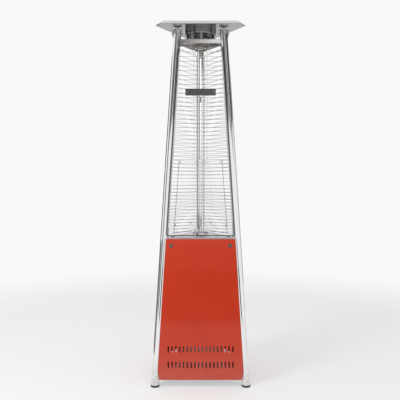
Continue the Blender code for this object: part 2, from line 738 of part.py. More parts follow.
def sidePoint(side, x, out, height):
    """A point by its place on a side, from the tower's axis."""
    turn = Matrix.Rotation(math.radians(SIDE_TURN[side]), 3, "Z")
    tilt = Matrix.Rotation(-SIDE_TILT, 3, "X")
    return turn @ (tilt @ Vector((x, -out, height * SLOPE)) + Vector((0, -inradius(0.0), 0)))


def smoothPath(points, steps=4):
    """Points on a smooth curve through the route's own points."""
    ends = [points[0] * 2 - points[1]] + points + [points[-1] * 2 - points[-2]]
    path = []
    for i in range(1, len(ends) - 2):
        a, b, c, d = ends[i - 1:i + 3]
        for k in range(steps):
            s = k / steps
            path.append(0.5 * (b * 2 + (c - a) * s + (a * 2 - b * 5 + c * 4 - d) * s ** 2
                               + (b * 3 - a - c * 3 + d) * s ** 3))
    return path + [points[-1]]


def makeLatch():
    """A wing handle outside the door, its cam inside, and the catch on the front right post."""
    x = -spacing(LATCH_HEIGHT) / 2 + LATCH_FROM_POST
    axis = axisEmpty("latch_axis", "rear_right", x, LATCH_HEIGHT)
    face = PANEL_OUTSET + CLEARANCE
    rose = cylinder("rose", 0.014, 0.0036, 16)
    rose.data.transform(Matrix.Translation((0, 0, face)))
    spindle = cylinder("spindle", 0.0055, 0.024, 12)
    spindle.data.transform(Matrix.Translation((0, 0, 0.003)))
    wing = box("wing", (0.009, 0.046, 0.015), centre=(0, 0, face + 0.0105))
    cam = box("cam", (0.014, LATCH_CAM + 0.007, 0.003), centre=(0, -LATCH_CAM / 2 + 0.0035, 0.004))
    handle = applied(boolean(rose, [spindle, wing, cam], "UNION"))
    place(smooth(handle), "door_latch", "zinc_casting", axis)
    post_x = -spacing(LATCH_HEIGHT) / 2
    strike = box("strike", (0.034, 0.002, 0.030), centre=(post_x + 0.026, -0.008, 0))
    strike.data.transform(Matrix.Translation((0, 0, LATCH_HEIGHT * SLOPE)))
    tool = cylinder("post_cutter", POST_RADIUS + 0.0016, 0.1, 32)
    tool.data.transform(Matrix.Translation((post_x, 0, LATCH_HEIGHT * SLOPE - 0.05)))
    place(applied(boolean(strike, [tool], "DIFFERENCE")), "latch_catch", "galvanized",
          sides["rear_right"])


def makeControls():
    """Gas valve with its push and turn knob, and the battery igniter with its button."""
    bezel_face = PANEL_OUTSET + CLEARANCE + 0.0015
    z = KNOB_HEIGHT * SLOPE
    holes = [arc((KNOB_X, z), 0.0060, 0, 360, 17)[:-1], arc((BUTTON_X, z), 0.0104, 0, 360, 21)[:-1]]
    bezel = sidePlate("bezel", rounded(0.0, z, 0.176, 0.084, 0.010), holes, 0.0015, bezel_face)
    place(bezel, "control_plate", "dark_stainless", sides["rear_left"])
    knob_axis = axisEmpty("knob_axis", "rear_left", KNOB_X, KNOB_HEIGHT)
    button_axis = axisEmpty("button_axis", "rear_left", BUTTON_X, KNOB_HEIGHT)

    stem = cylinder("stem", 0.0040, 0.046, 12)
    place(smooth(stem), "valve_stem", "cast_brass", knob_axis, (0, 0, -0.002))
    low = bezel_face + KNOB_PUSH + 0.0022
    knob = turned("knob", [(0, low + 0.022), (0.0165, low + 0.0215), (0.0180, low + 0.019),
                           (0.0205, low + 0.004), (0.0230, low + 0.002), (0.0230, low),
                           (0.0044, low), (0.0044, 0.0446), (0, 0.0446)], 20, closed=False)
    knob = asMesh(knob)
    ridge = box("ridge", (0.008, 0.036, 0.010), centre=(0, 0, low + 0.023))
    knob = applied(boolean(knob, [ridge], "UNION"))
    place(smooth(knob), "control_knob", "black_plastic", knob_axis)

    body = box("valve", (0.040, 0.036, 0.036), centre=(0, 0, -0.024))
    boss = cylinder("boss", 0.0110, 0.024, 16)
    boss.data.transform(Matrix.Translation((0, 0, -0.008)))
    inlet = cylinder("inlet", 0.0075, 0.026, 12)
    inlet.data.transform(Matrix.Translation((0, -0.010, -0.024))
                         @ Matrix.Rotation(math.radians(90), 4, "X"))
    outlet = cylinder("outlet", 0.0070, 0.022, 12)
    outlet.data.transform(Matrix.Translation((0, 0, -0.056)))
    bore = cylinder("bore", 0.0048, 0.040, 12)
    bore.data.transform(Matrix.Translation((0, 0, -0.010)))
    boolean(body, [boss, inlet, outlet], "UNION")
    place(applied(boolean(body, [bore], "DIFFERENCE")), "gas_valve", "zinc_casting", knob_axis)

    drop = (DECK_TOP - KNOB_HEIGHT) * SLOPE - 0.0040
    hanger = box("hanger", (0.060, drop + 0.024, 0.0015), centre=(0, drop / 2 - 0.012, 0.0130))
    shelf = box("hanger_top", (0.060, 0.0015, 0.020), centre=(0, drop - 0.00075, 0.0040))
    boolean(hanger, [shelf], "UNION")
    tool = cylinder("hole", 0.0116, 0.06, 16)
    tool.data.transform(Matrix.Translation((0, 0, -0.02)))
    place(applied(boolean(hanger, [tool], "DIFFERENCE")), "valve_bracket", "galvanized", knob_axis)

    mouth = bezel_face + CLEARANCE
    case = turned("case", [(0.0135, mouth + 0.0020), (0.0135, mouth), (0.0100, mouth),
                           (0.0100, -0.030), (0, -0.030), (0, 0.014), (0.0092, 0.014),
                           (0.0092, mouth + 0.0020)], 20)
    place(smooth(asMesh(case)), "igniter_case", "black_plastic", button_axis)
    button = turned("button", [(0, 0.0345), (0.0070, 0.0343), (0.0086, 0.0330), (0.0086, 0.0200),
                               (0, 0.0200)], 20, closed=False)
    place(smooth(button), "igniter_button", "black_plastic", button_axis)
    switch = box("switch", (0.040, 0.024, 0.030), centre=(0.060, -0.109, DECK_TOP - 0.0170))
    place(switch, "tilt_switch", "black_plastic", tower)


def makeBottle():
    """The gas bottle on the shelf, with its valve, handwheel, collar and foot ring."""
    wall = 0.003
    outer = [(0.020, BOTTLE_NECK), (0.022, 0.393), (0.060, 0.387), (0.105, 0.366), (0.138, 0.333),
             (BOTTLE_RADIUS, 0.288), (BOTTLE_RADIUS, 0.170), (0.140, 0.127), (0.110, 0.104),
             (0.062, 0.0950), (0, 0.0925)]
    inner = [(max(r - wall, 0.0), z + (wall if z < 0.2 else -wall)) for r, z in reversed(outer[2:])]
    profile = outer + inner + [(0.0130, 0.391), (0.0130, BOTTLE_NECK)]
    shell = asMesh(turned("shell", profile, 24))
    place(smooth(shell), "gas_bottle", "bottle_paint", tower)
    foot = turned("foot_ring", [(BOTTLE_FOOT, 0.0995), (BOTTLE_FOOT, SHELF_TOP + CLEARANCE),
                                (BOTTLE_FOOT - 0.003, SHELF_TOP + CLEARANCE),
                                (BOTTLE_FOOT - 0.003, 0.0995)], 24)
    place(smooth(foot), "bottle_foot_ring", "bottle_paint", tower)
    collar = asMesh(turned("collar", [(0.103, BOTTLE_COLLAR_TOP), (0.103, 0.3690),
                                      (0.100, 0.3705), (0.100, BOTTLE_COLLAR_TOP)], 24))
    opening = box("opening", (0.20, 0.150, 0.20), centre=(0.12, 0, 0.500))
    grips = box("grips", (0.060, 0.300, 0.034), centre=(-0.02, 0, 0.492))
    for tool in (opening, grips):
        tool.data.transform(Matrix.Rotation(math.radians(OUTLET_TURN), 4, "Z"))
    collar = applied(boolean(collar, [opening, grips], "DIFFERENCE"))
    place(smooth(collar), "bottle_collar", "bottle_paint", tower)

    body = turned("body", [(0, 0.470), (0.0050, 0.470), (0.0050, 0.4530), (0.0140, 0.4520),
                           (0.0140, BOTTLE_NECK + CLEARANCE), (0.0120, BOTTLE_NECK + CLEARANCE),
                           (0.0120, 0.386), (0, 0.386)], 16, closed=False)
    outlet = cylinder("outlet", 0.0125, 0.028, 16)
    outlet.data.transform(Matrix.Rotation(math.radians(OUTLET_TURN), 4, "Z")
                          @ Matrix.Translation((0.010, 0, 0.428))
                          @ Matrix.Rotation(math.radians(90), 4, "Y"))
    place(applied(boolean(asMesh(body), [outlet], "UNION")), "bottle_valve", "cast_brass", tower)
    lobes = 8
    rim = []
    for i in range(lobes * 5):
        turn = 2 * math.pi * i / (lobes * 5)
        reach = 0.0250 + 0.0018 * math.cos(lobes * turn)
        rim.append((reach * math.cos(turn), reach * math.sin(turn)))
    wheel = asMesh(flat("wheel", [rim, arc((0, 0), 0.0055, 0, 360, 13)[:-1]], 0.012))
    place(wheel, "bottle_handwheel", "black_plastic", tower, (0, 0, 0.4625))
    makeGasLine()


def makeGasLine():
    """Regulator, hose, burner feed, pilot pipe, thermocouple lead and spark lead."""
    out = Vector((math.cos(math.radians(OUTLET_TURN)), math.sin(math.radians(OUTLET_TURN)), 0))
    aside = Vector((math.cos(math.radians(OUTLET_TURN + 90)),
                    math.sin(math.radians(OUTLET_TURN + 90)), 0))
    centre = out * 0.082 + Vector((0, 0, 0.428))
    disc = turned("regulator", [(0, 0.017), (0.014, 0.017), (0.016, 0.011), (0.031, 0.009),
                                (0.034, 0.005), (0.034, -0.003), (0.029, -0.009), (0.012, -0.015),
                                (0, -0.015)], 20, closed=False)
    disc = asMesh(disc)
    disc.data.transform(Matrix.Translation(centre))
    nut = cylinder("nut", 0.0170, 0.018, 12)
    nut.data.transform(Matrix.Translation(out * 0.0385 + Vector((0, 0, 0.428)))
                       @ Matrix.Rotation(math.radians(OUTLET_TURN), 4, "Z")
                       @ Matrix.Rotation(math.radians(90), 4, "Y"))
    tail = cylinder("tail", 0.0062, 0.036, 12)
    tail.data.transform(Matrix.Translation(centre + aside * 0.020)
                        @ Matrix.Rotation(math.radians(OUTLET_TURN + 90), 4, "Z")
                        @ Matrix.Rotation(math.radians(90), 4, "Y"))
    place(smooth(applied(boolean(disc, [nut, tail], "UNION"))), "regulator", "zinc_casting", tower)

    start = centre + aside * 0.0575
    inlet = sidePoint("rear_left", KNOB_X, -0.024, KNOB_HEIGHT - 0.0363)
    up = (sidePoint("rear_left", KNOB_X, -0.024, KNOB_HEIGHT) - inlet).normalized()
    route = [start, start + aside * 0.030, Vector((-0.128, -0.058, 0.462)),
             Vector((-0.140, -0.036, 0.530)), Vector((-0.128, 0.008, 0.610)),
             inlet - up * 0.110, inlet - up * 0.045, inlet]
    hose = wire("hose", smoothPath(route), 0.0055)
    place(hose, "gas_hose", "black_rubber", tower)

    jet = Vector((0, 0, DECK_TOP - 0.062 - 0.0853))
    outlet = sidePoint("rear_left", KNOB_X, -0.0572, KNOB_HEIGHT)
    inward = (sidePoint("rear_left", KNOB_X, -0.08, KNOB_HEIGHT) - outlet).normalized()
    route = [outlet, outlet + inward * 0.020, outlet + inward * 0.050 - Vector((0, 0, 0.030)),
             Vector((-0.028, 0.010, jet.z - 0.040)), Vector((-0.006, 0.002, jet.z - 0.034)),
             jet - Vector((0, 0, 0.014)), jet]
    feed = wire("feed", smoothPath(route, 3), 0.0040, 1)
    place(feed, "burner_feed_pipe", "copper_pipe", tower)
    makeLeads()


def makeLeads():
    """The pilot and the thermocouple with their thin lines, and the lead to the electrode."""
    low = DECK_TOP - 0.0103
    valve_right = sidePoint("rear_left", KNOB_X + 0.014, -0.0430, KNOB_HEIGHT - 0.008)
    valve_left = sidePoint("rear_left", KNOB_X - 0.014, -0.0430, KNOB_HEIGHT - 0.008)
    case_back = sidePoint("rear_left", BUTTON_X, -0.0315, KNOB_HEIGHT)
    inward = (sidePoint("rear_left", 0, -0.1, 0.85) - sidePoint("rear_left", 0, 0, 0.85)) / 0.1
    for name, finish, start, x, y, radius, tip_radius in (
            ("pilot_burner", "stainless", valve_left, -0.0365, 0.008, 0.0018, 0.0026),
            ("thermocouple", "copper_pipe", valve_right, -0.0375, 0.0, 0.0012, 0.0024),
            ("spark_lead", "black_rubber", case_back, -0.0365, -0.008, 0.0016, 0.0)):
        end = Vector((x, y, low))
        turn = Vector((x * 0.62, y * 1.3, DECK_TOP - 0.092))
        route = [start, start + inward * 0.016,
                 Vector((x * 1.4, y * 2.2 + 0.010, DECK_TOP - 0.108)), turn,
                 Vector((x * 0.90, y, DECK_TOP - 0.058)), end - Vector((0, 0, 0.012)), end]
        lead = wire(name, smoothPath(route, 3), radius, 0)
        if tip_radius:
            tip = cylinder("tip", tip_radius, 0.052, 10)
            tip.data.transform(Matrix.Translation((x, y, low - 0.002)))
            lead = applied(boolean(asMesh(lead), [tip], "UNION"))
        place(lead, name, finish, tower)


makePosts()
makeFeet()
makePanels()
makeDoor()
makeShelf()
makeDeck()
makeBurner()
makeTop()
makeGuards()
makeShields()
makeLatch()
makeControls()
makeBottle()
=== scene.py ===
import math

import bmesh
import bpy
from mathutils import Matrix, Vector


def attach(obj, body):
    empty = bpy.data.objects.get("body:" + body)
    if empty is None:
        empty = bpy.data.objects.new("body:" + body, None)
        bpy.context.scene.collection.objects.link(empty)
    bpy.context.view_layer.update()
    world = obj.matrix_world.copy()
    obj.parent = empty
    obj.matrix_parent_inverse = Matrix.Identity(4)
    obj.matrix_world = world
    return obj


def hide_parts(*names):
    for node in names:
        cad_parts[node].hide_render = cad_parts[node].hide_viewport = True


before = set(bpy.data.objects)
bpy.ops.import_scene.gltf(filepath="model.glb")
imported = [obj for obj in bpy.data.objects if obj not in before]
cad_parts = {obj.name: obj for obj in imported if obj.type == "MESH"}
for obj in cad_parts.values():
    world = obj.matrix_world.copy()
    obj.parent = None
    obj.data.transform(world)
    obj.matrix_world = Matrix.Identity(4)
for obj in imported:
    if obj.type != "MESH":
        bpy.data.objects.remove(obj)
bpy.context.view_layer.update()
scene = bpy.context.scene
print("frame loaded:", len(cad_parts), "nodes")

# the tower's own measures, the same as in the CAD
tower = {
    "height": 2.356, "spacingFloor": 0.585, "spacingLoss": 0.1215, "postRadius": 0.026,
    "deckTop": 0.958, "topPlate": 2.25, "sheet": 0.0012,
}
postTurns = {"front_left": 210.0, "front_right": 330.0, "rear": 90.0}
sideTurns = {"front": 0.0, "rear_right": 120.0, "rear_left": -120.0}
lean = tower["spacingLoss"] / math.sqrt(3)          # how far a post leans in for each metre up
sideTilt = math.atan(lean / 2)
slope = 1 / math.cos(sideTilt)                      # length up a side for each metre of height
towerY = -tower["spacingFloor"] / (4 * math.sqrt(3))
skin = 0.0003                                       # gap between a sheet and what lies on it


def moved(x, y, z):
    return Matrix.Translation((x, y, z))


def spun(degrees, axis):
    return Matrix.Rotation(math.radians(degrees), 4, axis)


def around(radius, degrees):
    return radius * math.cos(math.radians(degrees)), radius * math.sin(math.radians(degrees))


axisPlace = moved(0, towerY, 0)


# distance between the post axes at a height
def spacingAt(z):
    return tower["spacingFloor"] - tower["spacingLoss"] * z


def postPoint(post, z):
    x, y = around(spacingAt(z) / math.sqrt(3), postTurns[post])
    return Vector((x, towerY + y, z))


# frame of one side: x along it, -y out of it, z up its slope
def sideMatrix(side):
    inRadius = spacingAt(0) / (2 * math.sqrt(3))
    return (axisPlace @ spun(sideTurns[side], "Z") @ moved(0, -inRadius, 0)
            @ Matrix.Rotation(-sideTilt, 4, "X"))


def onSide(side, along, out, height):
    return sideMatrix(side) @ Vector((along, -out, height * slope))


def outOf(side):
    return sideMatrix(side).to_3x3() @ Vector((0, -1, 0))


# at a point of a side, z out of it and y up it
def facing(side, along, out, height):
    return sideMatrix(side) @ moved(along, -out, height * slope) @ spun(90, "X")


# one socket, so that shader and geometry maths reads as plain expressions
class Wire:
    def __init__(self, graph, socket):
        self.graph = graph
        self.socket = socket

    def maths(self, operation, first, second):
        return self.graph.node("ShaderNodeMath", {"operation": operation}, {0: first, 1: second})

    def __add__(self, other):
        return self.maths("ADD", self, other)

    def __radd__(self, other):
        return self.maths("ADD", other, self)

    def __sub__(self, other):
        return self.maths("SUBTRACT", self, other)

    def __rsub__(self, other):
        return self.maths("SUBTRACT", other, self)

    def __mul__(self, other):
        return self.maths("MULTIPLY", self, other)

    def __rmul__(self, other):
        return self.maths("MULTIPLY", other, self)

    def __truediv__(self, other):
        return self.maths("DIVIDE", self, other)

    def __rtruediv__(self, other):
        return self.maths("DIVIDE", other, self)

    def above(self, edge, soft=0.0):
        if not soft:
            return self.maths("GREATER_THAN", self, edge)
        return self.graph.node("ShaderNodeMapRange", {"interpolation_type": "SMOOTHSTEP"}, {
            "Value": self, "From Min": edge - soft, "From Max": edge + soft}, "Result")


class Graph:
    def __init__(self, tree):
        self.tree = tree

    # any node: its type, its settings, then values or links for its sockets
    def node(self, kind, settings=None, sockets=None, out=0):
        made = self.tree.nodes.new(kind)
        for key, value in (settings or {}).items():
            if key == "stops":
                ramp = made.color_ramp
                while len(ramp.elements) < len(value):
                    ramp.elements.new(0.5)
                for element, (position, colour) in zip(ramp.elements, value):
                    element.position = position
                    element.color = (*colour, 1.0)
            else:
                setattr(made, key, value)
        for key, value in (sockets or {}).items():
            self.feed(made.inputs[key], value)
        return Wire(self, made.outputs[out])

    # a geometry node by its short name
    def geo(self, kind, sockets=None, **settings):
        return self.node("GeometryNode" + kind, settings, sockets)

    def vector(self, **parts):
        return self.node("ShaderNodeCombineXYZ", {}, parts)

    def grey(self, tone):
        return self.node("ShaderNodeCombineColor", {}, {0: tone, 1: tone, 2: tone})

    # a turn that brings one axis of a copy to a direction
    def turnTo(self, axis, way):
        return self.node("FunctionNodeAlignRotationToVector", {"axis": axis}, {"Vector": way})

    def joined(self, *wires):
        join = self.tree.nodes.new("GeometryNodeJoinGeometry")
        for wire in wires:
            self.tree.links.new(wire.socket, join.inputs[0])
        return Wire(self, join.outputs[0])

    def feed(self, socket, value):
        if isinstance(value, Wire):
            self.tree.links.new(value.socket, socket)
        elif isinstance(value, (list, tuple)) and socket.type == "RGBA":
            socket.default_value = (*value[:3], 1.0)
        else:
            socket.default_value = value


# a material built round its own Principled shader
class Finish(Graph):
    def __init__(self, name, **fixed):
        self.material = bpy.data.materials.new(name)
        self.material.use_nodes = True
        super().__init__(self.material.node_tree)
        self.shader = self.tree.nodes["Principled BSDF"]
        self.coords = self.node("ShaderNodeTexCoord", out="Object")
        self.set(**fixed)

    def set(self, **links):
        for key, value in links.items():
            self.feed(self.shader.inputs[key.replace("_", " ")], value)
        return self.material

    def stretched(self, scale):
        return self.node("ShaderNodeMapping", {}, {"Vector": self.coords, "Scale": scale})

    def noise(self, scale, detail=3.0, rough=0.5, where=None):
        return self.node("ShaderNodeTexNoise", {}, {
            "Vector": where or self.coords, "Scale": scale, "Detail": detail, "Roughness": rough}, "Fac")

    def cells(self, scale, out="Distance"):
        return self.node("ShaderNodeTexVoronoi", {}, {"Vector": self.coords, "Scale": scale}, out)

    # 1 at the floor and 0 well above the height
    def low(self, height, soft):
        return 1.0 - self.node("ShaderNodeSeparateXYZ", {}, {"Vector": self.coords}, "Z").above(height, soft)

    def mix(self, factor, first, second, blend="MIX"):
        return self.node("ShaderNodeMix", {"data_type": "RGBA", "blend_type": blend},
                         {0: factor, 6: first, 7: second}, 2)

    def bump(self, height, strength, distance=0.0003):
        return self.node("ShaderNodeBump", {}, {
            "Height": height, "Strength": strength, "Distance": distance}, "Normal")


def scaled(colour, *factors):
    return tuple(c * f for c, f in zip(colour, factors * 3))


# polished or brushed steel: fine lines along one way, cloudy wear, a little grime low down
def steel(name, base, gloss, lines=(900, 900, 9), strength=0.1, clouds=0.05, grime=0.0):
    f = Finish(name, Metallic=1.0)
    streaks = f.noise(1.0, 4.0, 0.6, f.stretched(lines))
    cloud = f.noise(7.0, 3.0)
    dirt = f.low(0.1, 0.1) * f.noise(60.0, 4.0).above(0.52, 0.12) * grime
    colour = f.mix(1.0, base, f.grey(streaks * 0.06 + cloud * 0.05 + 0.93), "MULTIPLY")
    colour = f.mix(dirt, colour, (0.16, 0.13, 0.1))
    return f.set(Base_Color=colour, Roughness=streaks * 0.07 + cloud * clouds + dirt * 0.4 + gloss,
                 Normal=f.bump(streaks, strength, 0.0002))


# steel that the flame has coloured straw, brown and blue
def heatedSteel(name, base, gloss, height, reach):
    f = Finish(name, Metallic=1.0)
    streaks = f.noise(1.0, 4.0, 0.6, f.stretched((14, 14, 900)))
    cloud = f.noise(16.0, 4.0, 0.6)
    away = f.node("ShaderNodeVectorMath", {"operation": "DISTANCE"}, {0: f.coords, 1: (0, towerY, height)},
                  "Value")
    heat = 1.0 - (away / reach + cloud * 0.5 - 0.25)
    tint = f.node("ShaderNodeValToRGB", {"stops": [
        (0.0, base), (0.35, scaled(base, 0.98, 0.95, 0.9)), (0.62, scaled(base, 0.84, 0.76, 0.72)),
        (0.85, scaled(base, 0.58, 0.57, 0.62))]}, {"Fac": heat}, "Color")
    return f.set(Base_Color=tint, Roughness=streaks * 0.1 + cloud * 0.1 + gloss,
                 Normal=f.bump(streaks, 0.08, 0.0002))


# glossy enamel over pressed sheet: orange peel, faint waves in the sheet, dust near the floor
def enamel(name, colour, deeper):
    f = Finish(name, Coat_Weight=0.55, Coat_Roughness=0.11, Specular_IOR_Level=0.12)
    peel = f.noise(420.0, 2.0)
    waves = f.noise(5.0, 2.0)
    specks = f.noise(900.0, 2.0).above(0.74, 0.02)
    dust = f.low(0.16, 0.14) * f.noise(22.0, 5.0, 0.6) * 0.22
    paint = f.mix(waves.above(0.5, 0.4), colour, deeper)
    paint = f.mix(specks * 0.25, paint, (0.75, 0.2, 0.1))
    paint = f.mix(dust, paint, (0.52, 0.4, 0.34))
    return f.set(Base_Color=paint, Roughness=waves * 0.06 + dust * 0.5 + 0.3,
                 Normal=f.bump(peel * 0.25 + waves * 6.0, 0.06, 0.0006))


# zinc plated sheet with its crystal spangle
def galvanizedSheet(name, base):
    f = Finish(name, Metallic=1.0)
    grain = f.cells(85.0, "Color")
    tone = f.node("ShaderNodeSeparateColor", {}, {0: grain}) * 0.26 + f.noise(11.0, 4.0) * 0.14 + 0.74
    return f.set(Base_Color=f.mix(1.0, base, f.grey(tone), "MULTIPLY"), Roughness=tone * 0.22 + 0.22,
                 Normal=f.bump(tone, 0.1))


# metal as cast: sand grain and a darker skin in its hollows
def castMetal(name, base, gloss, grain=900.0):
    f = Finish(name, Metallic=1.0)
    sand = f.noise(grain, 3.0, 0.6)
    skinTone = f.noise(38.0, 4.0, 0.6)
    colour = f.mix(skinTone.above(0.52, 0.22) * 0.45, base, scaled(base, 0.55))
    return f.set(Base_Color=colour, Roughness=sand * 0.16 + skinTone * 0.14 + gloss,
                 Normal=f.bump(sand, 0.3, 0.0004))


# moulded plastic: fine spark-eroded texture, slight shine on worn places
def mouldedPlastic(name, base, gloss, grain=1500.0):
    f = Finish(name)
    pits = f.cells(grain)
    wear = f.noise(46.0, 3.0).above(0.6, 0.1)
    colour = f.mix(wear * 0.35, base, tuple(min(1.0, c * 1.7 + 0.01) for c in base))
    return f.set(Base_Color=colour, Roughness=gloss + pits * 0.12 - wear * 0.1, Normal=f.bump(pits, 0.22))


def rubber(name, base, gloss):
    f = Finish(name)
    bloom = f.noise(70.0, 4.0, 0.6)
    colour = f.mix(bloom.above(0.5, 0.2) * 0.5, base, tuple(c * 1.8 + 0.008 for c in base))
    return f.set(Base_Color=colour, Roughness=bloom * 0.18 + gloss, Normal=f.bump(f.noise(1300.0, 2.0), 0.2))


# powder coat with chips and rust along the edges that knock against things
def bottlePaint(name, base):
    f = Finish(name, Coat_Weight=0.25, Coat_Roughness=0.25)
    peel = f.noise(520.0, 2.0)
    scuffs = f.noise(1.0, 5.0, 0.7, f.stretched((60, 60, 160))).above(0.655, 0.02)
    rust = f.low(0.1, 0.02) * f.noise(90.0, 5.0, 0.7).above(0.56, 0.03)
    colour = f.mix(f.noise(6.0, 3.0) * 0.35, base, scaled(base, 0.82))
    colour = f.mix(scuffs * 0.6, colour, (0.2, 0.19, 0.18))
    colour = f.mix(rust, colour, (0.16, 0.055, 0.02))
    return f.set(Base_Color=colour, Roughness=peel * 0.12 + rust * 0.4 + 0.34,
                 Normal=f.bump(peel + scuffs * -2.0 + rust * 2.0, 0.12, 0.0004))


# clear heat-proof glass with wiped smears; the tube bends light little, as its thin wall does
def clearGlass(name, tint, smear, index=1.47):
    f = Finish(name, Transmission_Weight=1.0, IOR=index)
    wiped = f.noise(1.0, 4.0, 0.6, f.stretched((14, 14, 3)))
    return f.set(Base_Color=f.mix(wiped.above(0.6, 0.2), tint, scaled(tint, 0.985)),
                 Roughness=wiped.above(0.62, 0.14) * smear)


def tarnished(name, base, dark, gloss):
    f = Finish(name, Metallic=1.0)
    stain = f.noise(55.0, 5.0, 0.65)
    colour = f.mix(stain.above(0.5, 0.18) * 0.7, base, dark)
    return f.set(Base_Color=colour, Roughness=stain * 0.22 + gloss, Normal=f.bump(stain, 0.08))


# every finish: its kind, its colour and what that kind is told besides
finishTable = {
    "postSteel": (steel, (0.88, 0.88, 0.89), 0.035, (700, 700, 7), 0.05, 0.03, 0.3),
    # a lighter copy of the posts' steel for the rear post: painted light
    "backPostSteel": (steel, (0.97, 0.97, 0.98), 0.05, (700, 700, 7), 0.05, 0.03, 0.3),
    # a dark copy of the rods' steel, used on the front guard's rods: painted shade
    "rodSteel": (steel, (0.17, 0.17, 0.17), 0.16, (900, 900, 60), 0.06),
    "brightRod": (steel, (0.84, 0.84, 0.85), 0.12, (900, 900, 60), 0.06),
    "wireSteel": (steel, (0.6, 0.6, 0.61), 0.12, (60, 900, 900), 0.06),
    "capSteel": (steel, (0.62, 0.62, 0.63), 0.1, (8, 900, 900), 0.08),
    "linerSteel": (steel, (0.34, 0.34, 0.34), 0.22, (9, 900, 900), 0.1),
    "deckSteel": (steel, (0.72, 0.69, 0.72), 0.14, (9, 900, 900), 0.1),
    "screwSteel": (steel, (0.58, 0.58, 0.58), 0.18, (500, 500, 500), 0.06),
    "screenSteel": (heatedSteel, (0.34, 0.34, 0.34), 0.13, 2.25, 0.13),
    "plateSteel": (heatedSteel, (0.92, 0.9, 0.9), 0.1, 2.25, 0.1),
    "burnerSteel": (heatedSteel, (0.46, 0.45, 0.44), 0.22, 0.98, 0.06),
    "badgeSteel": (steel, (0.16, 0.16, 0.165), 0.26, (10, 900, 900), 0.12),
    "redEnamel": (enamel, (0.52, 0.037, 0.009), (0.48, 0.03, 0.008)),
    "zincSheet": (galvanizedSheet, (0.5, 0.52, 0.54)),
    "brass": (castMetal, (0.6, 0.43, 0.17), 0.22, 1200.0),
    "zincCast": (castMetal, (0.5, 0.5, 0.49), 0.3),
    "blackPlastic": (mouldedPlastic, (0.018, 0.018, 0.019), 0.36),
    "footPlastic": (mouldedPlastic, (0.022, 0.021, 0.02), 0.46, 900.0),
    "blackRubber": (rubber, (0.018, 0.018, 0.018), 0.55),
    "tubeGlass": (clearGlass, (0.99, 0.995, 0.993), 0.01, 1.12),
    "paneGlass": (clearGlass, (0.985, 0.995, 0.992), 0.01, 1.35),
    "paneEdge": (clearGlass, (0.1, 0.13, 0.12), 0.03),
    "bottleGrey": (bottlePaint, (0.55, 0.56, 0.57)),
    "whiteCeramic": (rubber, (0.72, 0.7, 0.64), 0.22),
    "copper": (tarnished, (0.62, 0.3, 0.19), (0.2, 0.1, 0.07), 0.24),
    "whitePaint": (mouldedPlastic, (0.74, 0.74, 0.72), 0.45, 1100.0),
}
finishes = {name: make(name, *values) for name, (make, *values) in finishTable.items()}
print("finishes:", len(finishes))


def asMesh(name, bm):
    mesh = bpy.data.meshes.new(name)
    bm.to_mesh(mesh)
    bm.free()
    return mesh


def asBuilder(mesh):
    bm = bmesh.new()
    bm.from_mesh(mesh)
    bpy.data.meshes.remove(mesh)
    return bm


# an object's mesh with its curve or modifiers worked out
def worked(made):
    bpy.context.view_layer.update()
    return bpy.data.meshes.new_from_object(made.evaluated_get(bpy.context.evaluated_depsgraph_get()))


# the same from an object that has then done its work
def usedUp(made):
    scene.collection.objects.link(made)
    mesh = worked(made)
    bpy.data.objects.remove(made, do_unlink=True)
    return asBuilder(mesh)


def smoothed(mesh, sharp):
    mesh.shade_smooth()
    mesh.set_sharp_from_angle(angle=math.radians(sharp))
    return mesh


# turns a builder's mesh into a finished piece on its body; stands names the CAD node it stands for
def piece(name, bm, finish, stands=None, body="frame", sharp=35):
    mesh = asMesh(name, bm)
    if not isinstance(finish, list):
        # this also takes every face's mark away
        mesh.materials.clear()
        finish = [finish]
    for one in finish:
        mesh.materials.append(finishes[one])
    made = bpy.data.objects.new(name, smoothed(mesh, sharp))
    scene.collection.objects.link(made)
    # large flat faces keep their own shading beside a small bevel
    made.modifiers.new("Weighted", "WEIGHTED_NORMAL").keep_sharp = True
    made.data = worked(made)
    made.modifiers.clear()
    made.data.name = name
    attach(made, body)
    if stands:
        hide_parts(stands)


# CAD nodes that are fine as they are, with their full finish
def keepNodes(**finishOf):
    for node, finish in finishOf.items():
        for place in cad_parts[node].material_slots:
            place.material = finishes[finish]


def outward(bm, faces=None):
    bmesh.ops.recalc_face_normals(bm, faces=faces or bm.faces)
    return bm


# profile of (radius, z) turned about z; a closed one has a wall, an open one ends on the axis;
# a third number is how deep the rim's lobes are cut at that point
def lathe(bm, profile, steps, where=Matrix.Identity(4), closed=True, lobes=0):
    rings = []
    for radius, z, *depth in profile:
        points = []
        for i in range(steps if radius > 1e-6 else 1):
            a = 2 * math.pi * i / steps
            r = radius - (depth[0] * (0.5 + 0.5 * math.cos(lobes * a)) if depth else 0)
            points.append(bm.verts.new(where @ Vector((r * math.cos(a), r * math.sin(a), z))))
        rings.append(points)
    made = []
    for one, two in list(zip(rings, rings[1:])) + [(rings[-1], rings[0])] * closed:
        for i in range(steps):
            j = (i + 1) % steps
            corners = [one[i % len(one)], one[j % len(one)], two[j % len(two)], two[i % len(two)]]
            kept = [v for k, v in enumerate(corners) if v is not corners[k - 1]]
            if len(kept) > 2:
                made.append(bm.faces.new(kept))
    return outward(bm, made)


# a short tube between two heights, also the one of a nut
def collar(bm, outer, inner, start, end, steps, where):
    return lathe(bm, [(outer, start), (outer, end), (inner, end), (inner, start)], steps, where)


# a smooth curve through a route's own points
def smoothRoute(points, steps):
    points = [Vector(p) for p in points]
    ends = [points[0] * 2 - points[1]] + points + [points[-1] * 2 - points[-2]]
    path = []
    for i in range(1, len(ends) - 2):
        a, b, c, d = ends[i - 1:i + 3]
        for k in range(steps):
            s = k / steps
            path.append(0.5 * (b * 2 + (c - a) * s + (a * 2 - b * 5 + c * 4 - d) * s ** 2
                               + (b * 3 - a - c * 3 + d) * s ** 3))
    return path + [points[-1]]


